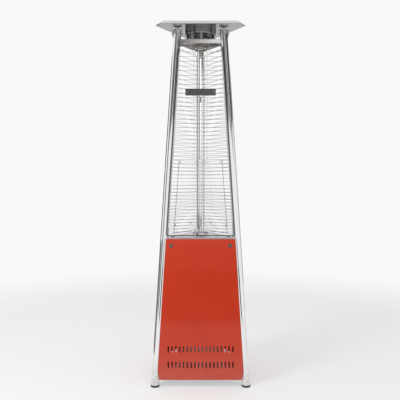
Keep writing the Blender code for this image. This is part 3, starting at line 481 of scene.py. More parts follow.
# a round bar along a path
def sweep(bm, path, radius, sides):
    rings = []
    across = (path[1] - path[0]).normalized().orthogonal().normalized()
    for i, point in enumerate(path):
        along = (path[min(i + 1, len(path) - 1)] - path[max(i - 1, 0)]).normalized()
        across = (across - along * across.dot(along)).normalized()
        up = along.cross(across)
        rings.append([bm.verts.new(point + radius * (
            across * math.cos(2 * math.pi * k / sides) + up * math.sin(2 * math.pi * k / sides)))
            for k in range(sides)])
    made = stitched(bm, rings)
    return outward(bm, made + [bm.faces.new(rings[0][::-1]), bm.faces.new(rings[-1])])


# the faces between rings that have the same number of points
def stitched(bm, rings, loop=True):
    made = []
    for one, two in zip(rings, rings[1:]):
        for i in range(len(one) if loop else len(one) - 1):
            j = (i + 1) % len(one)
            made.append(bm.faces.new((one[i], one[j], two[j], two[i])))
    return made


def arc(centre, radius, start, end, count):
    turns = [start + (end - start) / (count - 1) * i for i in range(count)]
    return [(centre[0] + x, centre[1] + y) for x, y in (around(radius, turn) for turn in turns)]


def ring(centre, radius, count):
    return arc(centre, radius, 0, 360, count + 1)[:-1]


# an outline with each corner rounded; the same number of points whatever its size
def roundCorners(outline, radius, count=6):
    points = []
    total = len(outline)
    for i in range(total):
        here = Vector(outline[i])
        back = (Vector(outline[i - 1]) - here).normalized()
        on = (Vector(outline[(i + 1) % total]) - here).normalized()
        half = back.angle(on) / 2
        reach = radius / math.tan(half)
        centre = here + (back + on).normalized() * (radius / math.sin(half))
        first, last = here + back * reach - centre, here + on * reach - centre
        a = math.atan2(first.y, first.x)
        span = (math.atan2(last.y, last.x) - a + math.pi) % (2 * math.pi) - math.pi
        points += [(centre.x + radius * math.cos(a + span * k / count),
                    centre.y + radius * math.sin(a + span * k / count)) for k in range(count + 1)]
    return points


def rectangle(x, y, width, height, radius):
    w, h = width / 2, height / 2
    return roundCorners([(x - w, y - h), (x + w, y - h), (x + w, y + h), (x - w, y + h)], radius, 5)


# a flat plate with holes and softened edges, centred on its thickness, from outlines in the xy plane
def plate(outlines, thickness, soft, where):
    curve = bpy.data.curves.new("plate", "CURVE")
    curve.dimensions = "2D"
    curve.fill_mode = "BOTH"
    curve.extrude = thickness / 2 - soft
    curve.bevel_depth = soft
    curve.bevel_resolution = 1
    curve.offset = -soft
    for outline in outlines:
        spline = curve.splines.new("POLY")
        spline.points.add(len(outline) - 1)
        for point, (x, y) in zip(spline.points, outline):
            point.co = (x, y, 0.0, 1.0)
        spline.use_cyclic_u = True
    bm = usedUp(bpy.data.objects.new("plate", curve))
    bmesh.ops.remove_doubles(bm, verts=bm.verts, dist=0.00001)
    outward(bm).transform(where)
    return bm


# adds one builder's mesh to another
def addTo(bm, other, mark=0):
    known = len(bm.faces)
    mesh = asMesh("part", other)
    bm.from_mesh(mesh)
    bpy.data.meshes.remove(mesh)
    bm.faces.ensure_lookup_table()
    for face in bm.faces[known:]:
        face.material_index = mark


# a block with softened edges
def block(size, soft, where, steps=2):
    bm = bmesh.new()
    bmesh.ops.create_cube(bm, size=1.0)
    bmesh.ops.scale(bm, vec=size, verts=bm.verts)
    bmesh.ops.bevel(bm, geom=bm.edges[:], offset=soft, segments=steps, profile=0.5, affect="EDGES")
    bm.transform(where)
    return bm


# a surface with its sheet's thickness, inward of the faces
def walled(bm, thickness, even=True):
    work = bpy.data.objects.new("walled", asMesh("walled", bm))
    wall = work.modifiers.new("Wall", "SOLIDIFY")
    wall.thickness = thickness
    wall.offset = -1.0
    wall.use_even_offset = even
    return usedUp(work)


# a node tree for geometry, with its inputs by name
def newTree(name, inputs=()):
    tree = bpy.data.node_groups.new(name, "GeometryNodeTree")
    tree.interface.new_socket("Geometry", in_out="INPUT", socket_type="NodeSocketGeometry")
    tree.interface.new_socket("Geometry", in_out="OUTPUT", socket_type="NodeSocketGeometry")
    for label, kind in (*inputs, ("Finish", "Material")):
        tree.interface.new_socket(label, in_out="INPUT", socket_type="NodeSocket" + kind)
    graph = Graph(tree)
    start = tree.nodes.new("NodeGroupInput")
    return graph, {socket.name: Wire(graph, socket) for socket in start.outputs if socket.name}


def closeTree(graph, geometry, given):
    real = graph.geo("RealizeInstances", {0: geometry})
    coated = graph.geo("SetMaterial", {"Geometry": real, "Material": given["Finish"]})
    end = graph.tree.nodes.new("NodeGroupOutput")
    graph.tree.links.new(coated.socket, end.inputs[0])
    return graph.tree


# runs a tree on a mesh with the values given by name, and returns the plain result
def runTree(tree, mesh, finish, values=None):
    work = bpy.data.objects.new("seed", mesh)
    step = work.modifiers.new("Nodes", "NODES")
    step.node_group = tree
    values = {**(values or {}), "Finish": finishes[finish]}
    for item in tree.interface.items_tree:
        if item.in_out == "INPUT" and item.name in values:
            step[item.identifier] = values[item.name]
    return usedUp(work)


# closed outlines as a mesh of edges in the xy plane
def loopMesh(outlines):
    mesh = bpy.data.meshes.new("outline")
    points, edges = [], []
    for outline in outlines:
        first, count = len(points), len(outline)
        points += [(x, y, 0) for x, y in outline]
        edges += [(first + i, first + (i + 1) % count) for i in range(count)]
    mesh.from_pydata(points, edges, [])
    return mesh


# copies of a small head on points, each turned to the point's own direction
def scatterTree():
    graph, given = newTree("scatterHeads", [("Head", "Object"), ("Size", "Float")])
    head = graph.node("GeometryNodeObjectInfo", {}, {"Object": given["Head"]}, "Geometry")
    way, side = [graph.geo("InputNamedAttribute", {"Name": name}, data_type="FLOAT_VECTOR")
                 for name in ("way", "side")]
    upright = graph.turnTo("Z", way)
    turned = graph.node("FunctionNodeAlignRotationToVector", {"axis": "X", "pivot_axis": "Z"},
                        {"Rotation": upright, "Vector": side})
    placed = graph.geo("InstanceOnPoints", {
        "Points": given["Geometry"], "Instance": head, "Rotation": turned, "Scale": given["Size"]})
    return closeTree(graph, placed, given)


# a level sheet inside outlines
def sheetTree():
    graph, given = newTree("filledSheet")
    curve = graph.geo("MeshToCurve", {"Mesh": given["Geometry"]})
    return closeTree(graph, graph.geo("FillCurve", {0: curve}, mode="TRIANGLES"), given)


# heads of size 1: radius 1 at their rim, standing on z = 0
def makeHeads():
    # button head with a hexagon socket
    socket = bmesh.new()
    steps = 24
    turns = [2 * math.pi * i / steps for i in range(steps)]
    flats = [0.36 / math.cos((a + math.pi / 6) % (math.pi / 3) - math.pi / 6) for a in turns]
    loops = [([r] * steps, z) for r, z in ((1.0, 0.0), (1.0, 0.1), (0.93, 0.32), (0.74, 0.52), (0.5, 0.6))]
    loops += [(flats, 0.6), (flats, 0.22)]
    rings = [[socket.verts.new((r * math.cos(a), r * math.sin(a), z)) for r, a in zip(reach, turns)]
             for reach, z in loops]
    stitched(socket, rings)
    socket.faces.new(rings[-1])
    socket.faces.new(rings[0][::-1])
    # hexagon bolt head on a washer
    bolt = lathe(bmesh.new(), [(0, 0.0), (1.3, 0.0), (1.32, 0.03), (1.3, 0.2), (0.98, 0.22), (0, 0.22)],
                 24, closed=False)
    addTo(bolt, plate([ring((0, 0), 1.0, 6)], 0.62, 0.05, moved(0, 0, 0.53)))
    made = {
        "socketHead": socket, "boltHead": bolt,
        # blind rivet with its broken mandrel
        "rivetHead": lathe(bmesh.new(), [
            (0, 0.34), (0.22, 0.33), (0.25, 0.4), (0.42, 0.42), (0.8, 0.28), (1.0, 0.06), (1.0, 0.0),
            (0, 0.0)], 18, closed=False),
        # low countersunk head, flush with its sheet
        "flushHead": lathe(bmesh.new(), [
            (0, 0.1), (0.28, 0.1), (0.31, 0.2), (0.86, 0.2), (1.0, 0.14), (1.0, 0.0), (0, 0.0)],
            24, closed=False)}
    return {name: bpy.data.objects.new(name, smoothed(asMesh(name, bm), 35)) for name, bm in made.items()}


filled = sheetTree()
scatter = scatterTree()
heads = makeHeads()
# radius of each kind of fastener's head
headSizes = {"guard": 0.0042, "badge": 0.0032, "screen": 0.0026, "cap": 0.007, "bracket": 0.0052,
             "hinge": 0.003, "latch": 0.0046, "plate": 0.0034, "valve": 0.0024}


# a piece of many heads; places is a list of (point, way out, sideways)
def fasten(name, head, size, places, finish="screwSteel", body="frame"):
    seed = bpy.data.meshes.new("places")
    seed.from_pydata([tuple(place[0]) for place in places], [], [])
    for k, label in ((1, "way"), (2, "side")):
        values = seed.attributes.new(label, "FLOAT_VECTOR", "POINT")
        values.data.foreach_set("vector", [c for place in places for c in Vector(place[k]).normalized()])
    piece(name, runTree(scatter, seed, finish, {"Head": heads[head], "Size": size}), finish, body=body)


print("tools ready")

# three posts: polished tube, softly rounded at both ends; the rear one takes a lighter copy of the same
# steel, painted light
postLook = {"bottom": 0.0123, "top": 2.317, "wall": 0.0015, "steps": 96,
            "finish": {"front_left": "postSteel", "front_right": "postSteel", "rear": "backPostSteel"}}


# moves what was made round z to a post's foot and leans it in as the post does
def leanOver(bm, post, z):
    foot, way = postPoint(post, z), Vector((*around(1, postTurns[post]), 0))
    for v in bm.verts:
        v.co += foot - way * lean * v.co.z


def makePosts():
    look = postLook
    outer, inner = tower["postRadius"], tower["postRadius"] - look["wall"]
    tall = look["top"] - look["bottom"]
    soft = 0.0004
    profile = [(outer, tall - soft), (outer, soft), (outer - soft, 0), (inner, 0), (inner, tall),
               (outer - soft, tall)]
    for post in postTurns:
        bm = lathe(bmesh.new(), profile, look["steps"])
        leanOver(bm, post, look["bottom"])
        piece("post_tube_" + post, bm, look["finish"][post], "post_" + post)


# foot glides: a plug in the tube, a flared skirt and a tread of fine rings
footLook = {"radius": 0.028, "height": 0.012, "plug": 0.0233, "finish": "footPlastic"}


def makeFeet():
    look = footLook
    r, h, p = look["radius"], look["height"], look["plug"]
    profile = [(0, 0.034), (p - 0.003, 0.034), (p - 0.0012, 0.0325), (p, 0.03), (p, 0.026),
               (p - 0.0012, 0.025), (p, 0.024), (p, h + 0.001), (p, h), (r - 0.0025, h),
               (r - 0.001, h - 0.0006), (r, h - 0.003), (r, 0.0045), (r - 0.0008, 0.003), (r, 0.0022),
               (r - 0.0006, 0.0008), (r - 0.002, 0.0), (r - 0.006, 0.0), (r - 0.0065, 0.0008),
               (r - 0.0075, 0.0008), (r - 0.008, 0.0), (0, 0.0)]
    for post in postTurns:
        bm = lathe(bmesh.new(), profile, 64, closed=False)
        leanOver(bm, post, 0)
        piece("foot_glide_" + post, bm, look["finish"], "foot_" + post)


# outline of a cabinet panel as (along, up the side) points, wider at the floor
panelLook = {
    "bottom": 0.049, "top": 0.945, "outset": 0.025, "fromPost": 0.012, "cornerWide": 0.014,
    "cornerHigh": 0.054, "slotWide": 0.009, "slotHigh": 0.04, "slotPitch": 0.0243, "slotCount": 18,
    "slotRows": (0.143, 0.242), "hemDeep": 0.0055, "hemBend": 0.0016, "hemFromPost": 0.0195,
    "finish": "redEnamel",
}


def panelOutline(right):
    look = panelLook
    left = look["fromPost"]
    low, high, mid = look["bottom"], look["top"], look["bottom"] + look["cornerHigh"]
    halves = [spacingAt(z) / 2 for z in (low, mid, high)]
    return [(-halves[0] + left + look["cornerWide"], low * slope),
            (halves[0] - right - look["cornerWide"], low * slope),
            (halves[1] - right, mid * slope), (halves[2] - right, high * slope),
            (-halves[2] + left, high * slope), (-halves[1] + left, mid * slope)]


# fills an outline round two rows of round-ended slots, level in the xy plane
def slotTree():
    graph, given = newTree("slottedSheet", [
        ("Slot Width", "Float"), ("Slot Height", "Float"), ("Pitch", "Float"), ("Slots", "Int"),
        ("Low Row", "Float"), ("High Row", "Float")])
    outline = graph.geo("MeshToCurve", {"Mesh": given["Geometry"]})
    slot = graph.geo("CurvePrimitiveQuadrilateral", {
        "Width": given["Slot Width"], "Height": given["Slot Height"]})
    slot = graph.node("GeometryNodeFilletCurve", {"mode": "POLY"}, {
        "Curve": slot, "Radius": given["Slot Width"] * 0.495, "Count": 6, "Limit Radius": True})
    wide = given["Pitch"] * (given["Slots"] - 1)
    grid = graph.geo("MeshGrid", {
        "Size X": wide, "Size Y": given["High Row"] - given["Low Row"], "Vertices X": given["Slots"],
        "Vertices Y": 2})
    middle = graph.vector(Y=(given["High Row"] + given["Low Row"]) * 0.5)
    grid = graph.geo("Transform", {"Geometry": grid, "Translation": middle})
    rows = graph.geo("InstanceOnPoints", {"Points": grid, "Instance": slot})
    both = graph.joined(graph.geo("RealizeInstances", {0: rows}), outline)
    return closeTree(graph, graph.geo("FillCurve", {0: both}, mode="TRIANGLES"), given)


slotted = slotTree()


# a short hem turned in along a straight edge, with a round bend
def hem(bm, start, end, inward):
    deep, bend = panelLook["hemDeep"], panelLook["hemBend"]
    rows = []
    for k in range(5):
        a = math.radians(90 * k / 4)
        rows.append(Vector((0, 0, -bend * math.sin(a))) + inward * bend * (1 - math.cos(a)) * 0.5)
    hung(bm, start, end, rows + [Vector((0, 0, -deep))])


# a strip from one corner to the next, with a row of its bend at each step
def hung(bm, start, end, rows):
    stitched(bm, [[bm.verts.new(start + row), bm.verts.new(end + row)] for row in rows], False)


# one slotted panel in its side's frame: filled, hemmed at top and foot, then given its wall
def slottedPanel(side, holes=(), right=panelLook["fromPost"]):
    look = panelLook
    bm = runTree(slotted, loopMesh([panelOutline(right), *holes]), look["finish"], {
        "Slot Width": look["slotWide"], "Slot Height": look["slotHigh"], "Pitch": look["slotPitch"],
        "Slots": look["slotCount"], "Low Row": look["slotRows"][0] * slope,
        "High Row": look["slotRows"][1] * slope})
    for z, flip in ((look["bottom"], 1), (look["top"], -1)):
        half = spacingAt(z) / 2 - look["hemFromPost"]
        y = z * slope
        hem(bm, Vector((-half, y, 0)), Vector((half, y, 0)), Vector((0, flip, 0)))
    outward(bm)
    if sum(f.normal.z for f in bm.faces if abs(f.normal.z) > 0.9) < 0:
        bmesh.ops.reverse_faces(bm, faces=bm.faces)
    bm = walled(bm, tower["sheet"])
    bm.transform(facing(side, 0, look["outset"], 0))
    return bm


studLook = {"x": 0.19, "height": 0.902, "radius": 0.0125, "finish": "badgeSteel"}
plateLook = {
    "height": 0.85, "wide": 0.176, "high": 0.084, "radius": 0.01, "thick": 0.0015,
    "knobX": -0.036, "buttonX": 0.04, "screws": (0.08, 0.034), "finish": "badgeSteel",
}


def makePanels():
    front = slottedPanel("front")
    piece("front_enamel_panel", front, panelLook["finish"], "front_panel")
    hole = rectangle(0.0, plateLook["height"] * slope, 0.15, 0.06, 0.004)
    left = slottedPanel("rear_left", [hole])
    piece("rear_left_enamel_panel", left, panelLook["finish"], "rear_left_panel")
    # plain domed studs in the front panel's upper corners
    r = studLook["radius"]
    for sign, label in ((-1, "left"), (1, "right")):
        where = facing("front", sign * studLook["x"], panelLook["outset"] + skin, studLook["height"])
        bm = lathe(bmesh.new(), [
            (0, 0.003), (r * 0.35, 0.0029), (r * 0.7, 0.0024), (r * 0.84, 0.0019), (r * 0.86, 0.0014),
            (r * 0.9, 0.0014), (r * 0.96, 0.0012), (r, 0.0005), (r, 0.0),
            (0, 0.0)], 48, where, closed=False)
        piece("stud_cap_" + label, bm, studLook["finish"], "panel_stud_" + label)


# outline of a pan: straight sides, with a round notch where each post passes
def notchedOutline(z, outset, notch):
    half = 30 + math.degrees(math.asin(outset / notch))
    points = []
    for post, turn in postTurns.items():
        centre = postPoint(post, z) - Vector((0, towerY, 0))
        inner = turn + 180
        points.append(arc((centre.x, centre.y), notch, inner + half, inner - half, 18))
    return points


# sheet pan: flat top with a round hole, flanges bent down along its three sides
def foldedPan(z, outset, flange, hole, thick):
    # room round each post, and how far the flange's bend reaches in
    gap, bend = 0.0006, 0.002
    notches = notchedOutline(z, outset, tower["postRadius"] + gap)
    outline = [p for notch in notches for p in notch]
    bm = runTree(filled, loopMesh([outline, ring((0, 0), hole, 64)]), "deckSteel")
    # the outline is drawn at the outer face, so the top draws in by the bend and the flange hangs from it
    for notch, following in zip(notches, notches[1:] + notches[:1]):
        start, end = Vector((*notch[-1], 0)), Vector((*following[0], 0))
        along = (end - start).normalized()
        out = Vector((along.y, -along.x, 0))
        rows = []
        for k in range(6):
            a = math.radians(90 * k / 5)
            rows.append(-out * bend * (1 - math.sin(a)) + Vector((0, 0, -bend * (1 - math.cos(a)))))
        hung(bm, start, end, rows + [Vector((0, 0, -flange))])
        # the flat top's own edge moves back to the bend
        for v in bm.verts:
            if abs(v.co.z) < 1e-9 and (v.co - start).dot(out) > -1e-6:
                v.co -= out * bend
    bmesh.ops.remove_doubles(bm, verts=bm.verts, dist=0.00002)
    outward(bm)
    if sum(f.normal.z * f.calc_area() for f in bm.faces) < 0:
        bmesh.ops.reverse_faces(bm, faces=bm.faces)
    bm = walled(bm, thick)
    bm.transform(moved(0, towerY, z))
    return bm


deckLook = {"outset": 0.0235, "flange": 0.0125, "hole": 0.0405, "thick": 0.0015}
shelfLook = {"top": 0.078, "outset": 0.021, "flange": 0.02, "hole": 0.06, "thick": 0.0015}


def makeDeck():
    look = deckLook
    bm = foldedPan(tower["deckTop"], look["outset"], look["flange"], look["hole"], look["thick"])
    piece("deck_pan", bm, "deckSteel", "deck_plate")
    look = shelfLook
    bm = foldedPan(look["top"], look["outset"], look["flange"], look["hole"], look["thick"])
    piece("bottom_shelf_pan", bm, "zincSheet", "base_shelf")


makePosts()
makeFeet()
makePanels()
makeDeck()
print("posts, feet, panels and pans made")

# wire guards: a bent rod frame with level wires welded across it
guardLook = {
    "wireRadius": 0.0018, "rodRadius": 0.004, "out": 0.0262, "edge": 0.011, "bottom": 0.963, "top": 2.205,
    "firstWire": 0.991, "lastWire": 2.16, "wires": 47, "crowding": 0.77, "topCorner": 0.028,
    "footCorner": 0.009, "lugHeights": (1.02, 1.6, 2.15), "footIn": 0.036,
}


def guardTree():
    graph, given = newTree("wireGuard", [
        ("Wires", "Int"), ("First", "Float"), ("Last", "Float"), ("Crowding", "Float"),
        ("Floor Width", "Float"), ("Width Loss", "Float"), ("Wire Radius", "Float"), ("Rod Radius", "Float"),
        ("Top Corner", "Float"), ("Foot Corner", "Float")])
    rodRing = graph.geo("CurvePrimitiveCircle", {
        "Resolution": 14, "Radius": given["Rod Radius"]})
    wireRing = graph.geo("CurvePrimitiveCircle", {
        "Resolution": 8, "Radius": given["Wire Radius"]})
    height = graph.node("ShaderNodeSeparateXYZ", {}, {
        "Vector": graph.geo("InputPosition")}, "Y")
    corner = height.above(1.5) * (given["Top Corner"] - given["Foot Corner"]) + given["Foot Corner"]
    rod = graph.geo("MeshToCurve", {"Mesh": given["Geometry"]})
    rod = graph.node("GeometryNodeFilletCurve", {"mode": "POLY"}, {
        "Curve": rod, "Radius": corner, "Count": 10, "Limit Radius": True})
    rod = graph.geo("CurveToMesh", {"Curve": rod, "Profile Curve": rodRing})
    ladder = graph.node("GeometryNodeMeshLine", {"mode": "END_POINTS"}, {
        "Count": given["Wires"], "Start Location": graph.vector(Y=given["First"]),
        "Offset": graph.vector(Y=given["Last"])})
    # the wires stand closer together low down
    way = (height - given["First"]) / (given["Last"] - given["First"])
    shift = (given["Last"] - given["First"]) * way * (way - 1.0) * (1.0 - given["Crowding"])
    ladder = graph.geo("SetPosition", {"Geometry": ladder, "Offset": graph.vector(Y=shift)})
    rung = graph.geo("CurvePrimitiveLine", {"Start": (-0.5, 0, 0), "End": (0.5, 0, 0)})
    wide = given["Floor Width"] - given["Width Loss"] * height
    rungs = graph.geo("InstanceOnPoints", {
        "Points": ladder, "Instance": rung, "Scale": graph.vector(X=wide, Y=1.0, Z=1.0)})
    rungs = graph.geo("RealizeInstances", {0: rungs})
    rungs = graph.geo("CurveToMesh", {
        "Curve": rungs, "Profile Curve": wireRing, "Fill Caps": True})
    rungs = graph.geo("SetMaterial", {"Geometry": rungs, "Material": given["Finish"]})
    return closeTree(graph, graph.joined(rungs, rod), given)


badgeLook = {"height": 1.896, "wide": 0.198, "high": 0.045, "thick": 0.0015, "out": 0.0312}


def makeGuards():
    look = guardLook
    tree = guardTree()
    rod, out = look["rodRadius"], look["out"]
    loss = tower["spacingLoss"] / slope
    reach = look["edge"] + rod
    low, high = look["bottom"] + rod, look["top"] - rod
    # a side's frame with the plate's z along it, its x out of the side and its y up
    upright = Matrix(((0, 0, -1, 0), (-1, 0, 0, 0), (0, 1, 0, 0), (0, 0, 0, 1)))
    for side in sideTurns:
        foot, head = spacingAt(low) / 2 - reach, spacingAt(high) / 2 - reach
        corners = [(-foot, low * slope), (foot, low * slope), (head, high * slope), (-head, high * slope)]
        bm = runTree(tree, loopMesh([corners]), "wireSteel", {
            "Wires": look["wires"], "First": look["firstWire"] * slope, "Last": look["lastWire"] * slope,
            "Crowding": look["crowding"], "Floor Width": tower["spacingFloor"] - 2 * reach,
            "Width Loss": loss, "Wire Radius": look["wireRadius"], "Rod Radius": rod,
            "Top Corner": look["topCorner"], "Foot Corner": look["footCorner"]})
        # the frame's rods take another finish than the wires; the front guard's rods take a dark copy of the
        # steel, painted shade for the dark room they reflect
        for face in bm.faces:
            x, y = face.calc_center_median().xy
            half = (tower["spacingFloor"] - 2 * reach - loss * y) / 2
            face.material_index = int(half - abs(x) < rod * 1.3 or y < (low + 0.006) * slope
                                      or y > (high - 0.006) * slope)
        bm.transform(facing(side, 0, out, 0))
        spots = []
        deck = tower["deckTop"] + 0.0008
        foot, sole, bar = deck * slope, (deck + 0.0018) * slope, (low + 0.003) * slope
        for sign in (-1, 1):
            # an angle tab under the lower bar, screwed to the deck
            x = sign * (spacingAt(low) / 2 - reach - look["footIn"])
            tab = [(0.006, foot), (0.0223, foot), (0.0223, bar), (0.0205, bar), (0.0205, sole),
                (0.006, sole)]
            addTo(bm, plate([tab], 0.016, 0.0003, sideMatrix(side) @ moved(x, 0, 0) @ upright), 1)
            spots.append((onSide(side, x, 0.013, deck + 0.0018), (0, 0, 1), (1, 0, 0)))
            # lugs that hold the rod to the post's shoulder
            for z in look["lugHeights"]:
                away = Vector((spacingAt(z) / 2 - reach, -out, 0)) - Vector((spacingAt(z) / 2, 0, 0))
                middle = Vector((sign * (spacingAt(z) / 2 + away.x * 0.87), away.y * 0.87, z * slope))
                turn = Matrix.Rotation(-sign * math.atan2(reach, out), 4, "Z")
                addTo(bm, block((0.005, 0.006, 0.014), 0.0008,
                                sideMatrix(side) @ Matrix.Translation(middle) @ turn), 1)
        outward(bm)
        rods = "rodSteel" if side == "front" else "brightRod"
        piece("wire_guard_" + side, bm, ["wireSteel", rods], "guard_" + side)
        fasten("guard_screws_" + side, "flushHead", headSizes["guard"], spots)
    look = badgeLook
    where = facing("front", 0.0, look["out"] - look["thick"] / 2, look["height"])
    bm = plate([rectangle(0, 0, look["wide"], look["high"], 0.005)], look["thick"], 0.0004, where)
    spots = [(onSide("front", sign * (look["wide"] / 2 - 0.012), look["out"], look["height"]),
              outOf("front"), (1, 0, 0)) for sign in (-1, 1)]
    piece("bare_badge_plate", bm, "badgeSteel", "blank_badge_plate")
    fasten("badge_rivets", "rivetHead", headSizes["badge"], spots)


# glass flame tube with its seat, seal and collar
tubeLook = {"radius": 0.0465, "wall": 0.004, "bottom": 0.9665, "top": 2.215, "steps": 128}


def makeTube():
    look = tubeLook
    r, w, low, high = look["radius"], look["wall"], look["bottom"], look["top"]
    deck, top = tower["deckTop"], tower["topPlate"]
    here = axisPlace
    bm = lathe(bmesh.new(), [
        (r - 0.001, low), (r, low + 0.001), (r, high - 0.001), (r - 0.001, high), (r - w + 0.001, high),
        (r - w, high - 0.001), (r - w, low + 0.001), (r - w + 0.001, low)], look["steps"], here)
    piece("flame_tube", bm, "tubeGlass", "glass_tube")
    bm = lathe(bmesh.new(), [
        (r + 0.0052, deck + 0.016), (r + 0.006, deck + 0.0152), (r + 0.0064, deck + 0.006),
        (r + 0.0076, deck + 0.0028), (r + 0.0112, deck + 0.0018), (r + 0.012, deck + 0.001),
        (r + 0.012, deck + 0.0003), (r - 0.006, deck + 0.0003), (r - 0.006, deck + 0.0036),
        (r + 0.0036, deck + 0.004), (r + 0.0042, deck + 0.0046), (r + 0.0044, deck + 0.0156)], 96, here)
    piece("tube_seat_ring", bm, "deckSteel", "tube_seat")
    bm = lathe(bmesh.new(), [
        (r + 0.0005, low - 0.0008), (r + 0.0008, low - 0.002), (r + 0.0005, deck + 0.0048),
        (r - w - 0.0004, deck + 0.0045), (r - w - 0.0008, low - 0.002), (r - w - 0.0005, low - 0.0003),
        (r - 0.002, low - 0.0003)], 64, here)
    piece("tube_seal_ring", bm, "blackRubber", "tube_seal")
    bm = lathe(bmesh.new(), [
        (r + 0.0074, top - 0.0022), (r + 0.0074, top - 0.0034), (r + 0.005, top - 0.0052),
        (r + 0.0038, top - 0.008), (r + 0.0035, high - 0.01), (r + 0.0042, high - 0.0112),
        (r + 0.0038, high - 0.012), (r + 0.0018, high - 0.0118), (r + 0.0016, high + 0.002),
        (r - w + 0.0004, high + 0.002), (r - w, high + 0.0026), (r - w, top - 0.0022)], 96, here)
    piece("tube_top_collar", bm, "plateSteel", "tube_collar")


# clear panes behind the two rear guards, with clamps that hold them to the guard's wires
paneLook = {
    "low": 0.962, "high": 1.468, "thick": 0.004, "out": 0.023, "edges": (0.43, 0.7, 0.95, 0.28),
    "clampIn": 0.016, "clampUp": (0.06, -0.022),
}


def makePanes():
    look = paneLook
    halfLow = spacingAt(look["low"]) / 2 - tower["postRadius"]
    halfHigh = spacingAt(look["high"]) / 2 - tower["postRadius"]
    frontLow, rearLow, rearHigh, frontHigh = look["edges"]
    for side, mirror, label in (("rear_left", 1, "left"), ("rear_right", -1, "right")):
        corners = [(mirror * halfLow * frontLow, look["low"]), (-mirror * halfLow * rearLow, look["low"]),
                   (-mirror * halfHigh * rearHigh, look["high"]),
                   (mirror * halfHigh * frontHigh, look["high"])]
        outline = roundCorners([(x, z * slope) for x, z in corners], 0.01, 8)
        middle = look["thick"] / 2 - look["out"]
        bm = plate([outline], look["thick"] - 0.0002, 0.0006, facing(side, 0, -middle, 0))
        bm.normal_update()
        for face in bm.faces:
            face.material_index = int(abs(face.normal.dot(outOf(side))) < 0.9)
        piece("clear_pane_" + label, bm, ["paneGlass", "paneEdge"], "wind_shield_" + label)
        # each clamp is two jaws on the glass and a hook over the guard's wires
        clamps = bmesh.new()
        for x, z in corners:
            x -= math.copysign(look["clampIn"], x)
            z += look["clampUp"][z == look["high"]]
            for shift in (-1, 1):
                out = middle + shift * (look["thick"] / 2 + 0.0006)
                addTo(clamps, block((0.008, 0.0012, 0.009), 0.0003,
                                    sideMatrix(side) @ moved(x, out, z * slope)))
            addTo(clamps, block((0.0034, 0.0042, 0.014), 0.0005, sideMatrix(side)
                                @ moved(x, -guardLook["out"], z * slope)))
        piece("pane_clamps_" + label, clamps, "screwSteel")


# top plate, flame screen, cap and its brackets
topLook = {
    "plateOutset": 0.01, "plateFlange": 0.027, "plateHole": 0.052, "plateThick": 0.0015,
    "screenRadius": 0.104, "windowWide": 0.024, "windowLow": 0.008, "windowHigh": 0.042, "windows": 10,
    "capSide": 0.656, "capCut": 0.07, "rimHeight": 0.0285, "rimInset": 0.031,
    "bracketLeg": 0.03, "bracketThick": 0.002, "bracketLow": 2.262, "bracketWide": 0.03,
    "boltHeight": 2.285, "beadDeep": 0.0012, "screenThick": 0.001, "capThick": 0.0008, "linerThick": 0.001,
}


# the drum is a grid of columns: windows are left out of it, and beads run round it
def makeScreen():
    look = topLook
    z0 = tower["topPlate"] + 0.0003
    tall = tower["height"] - look["rimHeight"] - 0.001 - tower["topPlate"] - 0.0006
    radius = look["screenRadius"]
    period = 360.0 / look["windows"]
    opening = math.degrees(look["windowWide"] / radius)
    turns = []
    for k in range(look["windows"]):
        middle = 18 + period * k - 90
        turns += [(middle - opening / 2 + opening * i / 6, 6 > i) for i in range(6)]
        turns += [(middle + opening / 2 + (period - opening) * i / 8, False) for i in range(8)]
    low, high, bead = look["windowLow"], look["windowHigh"], look["beadDeep"]
    rows = [(0.0, 0.0015), (0.0008, 0.0), (0.0024, 0.0), (0.0032, bead), (low, bead)]
    rows += [(low + (high - low) * i / 4, bead) for i in range(1, 5)]
    rows += [(high + 0.006, bead), (high + 0.0075, 0.0002), (high + 0.0095, 0.0002)]
    rows += [(high + 0.011, bead)]
    rows += [(tall - 0.0032, bead), (tall - 0.0024, 0.0), (tall - 0.0008, 0.0), (tall, 0.0015)]
    bm = bmesh.new()
    grid = [[bm.verts.new(((radius - sink) * math.cos(math.radians(turn)),
                           towerY + (radius - sink) * math.sin(math.radians(turn)), z0 + z))
             for turn, inside in turns] for z, sink in rows]
    for r in range(len(rows) - 1):
        for i, (turn, inside) in enumerate(turns):
            if inside and low - 1e-6 <= rows[r][0] and rows[r + 1][0] <= high + 1e-6:
                continue
            j = (i + 1) % len(turns)
            bm.faces.new((grid[r][i], grid[r][j], grid[r + 1][j], grid[r + 1][i]))
    bm = walled(bm, look["screenThick"], False)
    outward(bm)
    piece("flame_screen_drum", bm, "screenSteel", "flame_screen")
    spots = []
    for k in range(4):
        turn = math.radians(90 + (6 if k % 2 else -6))
        way = Vector((math.cos(turn), math.sin(turn), 0))
        spots.append((Vector((0, towerY, z0 + 0.0605 if k < 2 else z0 + 0.0675)) + way * (radius - 0.0011),
                      way, (0, 0, 1)))
    fasten("screen_rivets", "rivetHead", headSizes["screen"], spots, "screenSteel")


# the cap's three-sided outline with its corners cut off, drawn in by the inset
def capOutline(inset, corner):
    look = topLook
    inner = look["capSide"] / (2 * math.sqrt(3)) - inset
    cut = look["capCut"] - inset
    outline = []
    for turn in (210, 330, 90):
        a = math.radians(turn)
        tip = Vector((math.cos(a), math.sin(a))) * inner * 2
        for offset in (-150, 150):
            b = math.radians(turn + offset)
            outline.append(tuple(tip + Vector((math.cos(b), math.sin(b))) * cut))
    return roundCorners(outline, corner, 6)


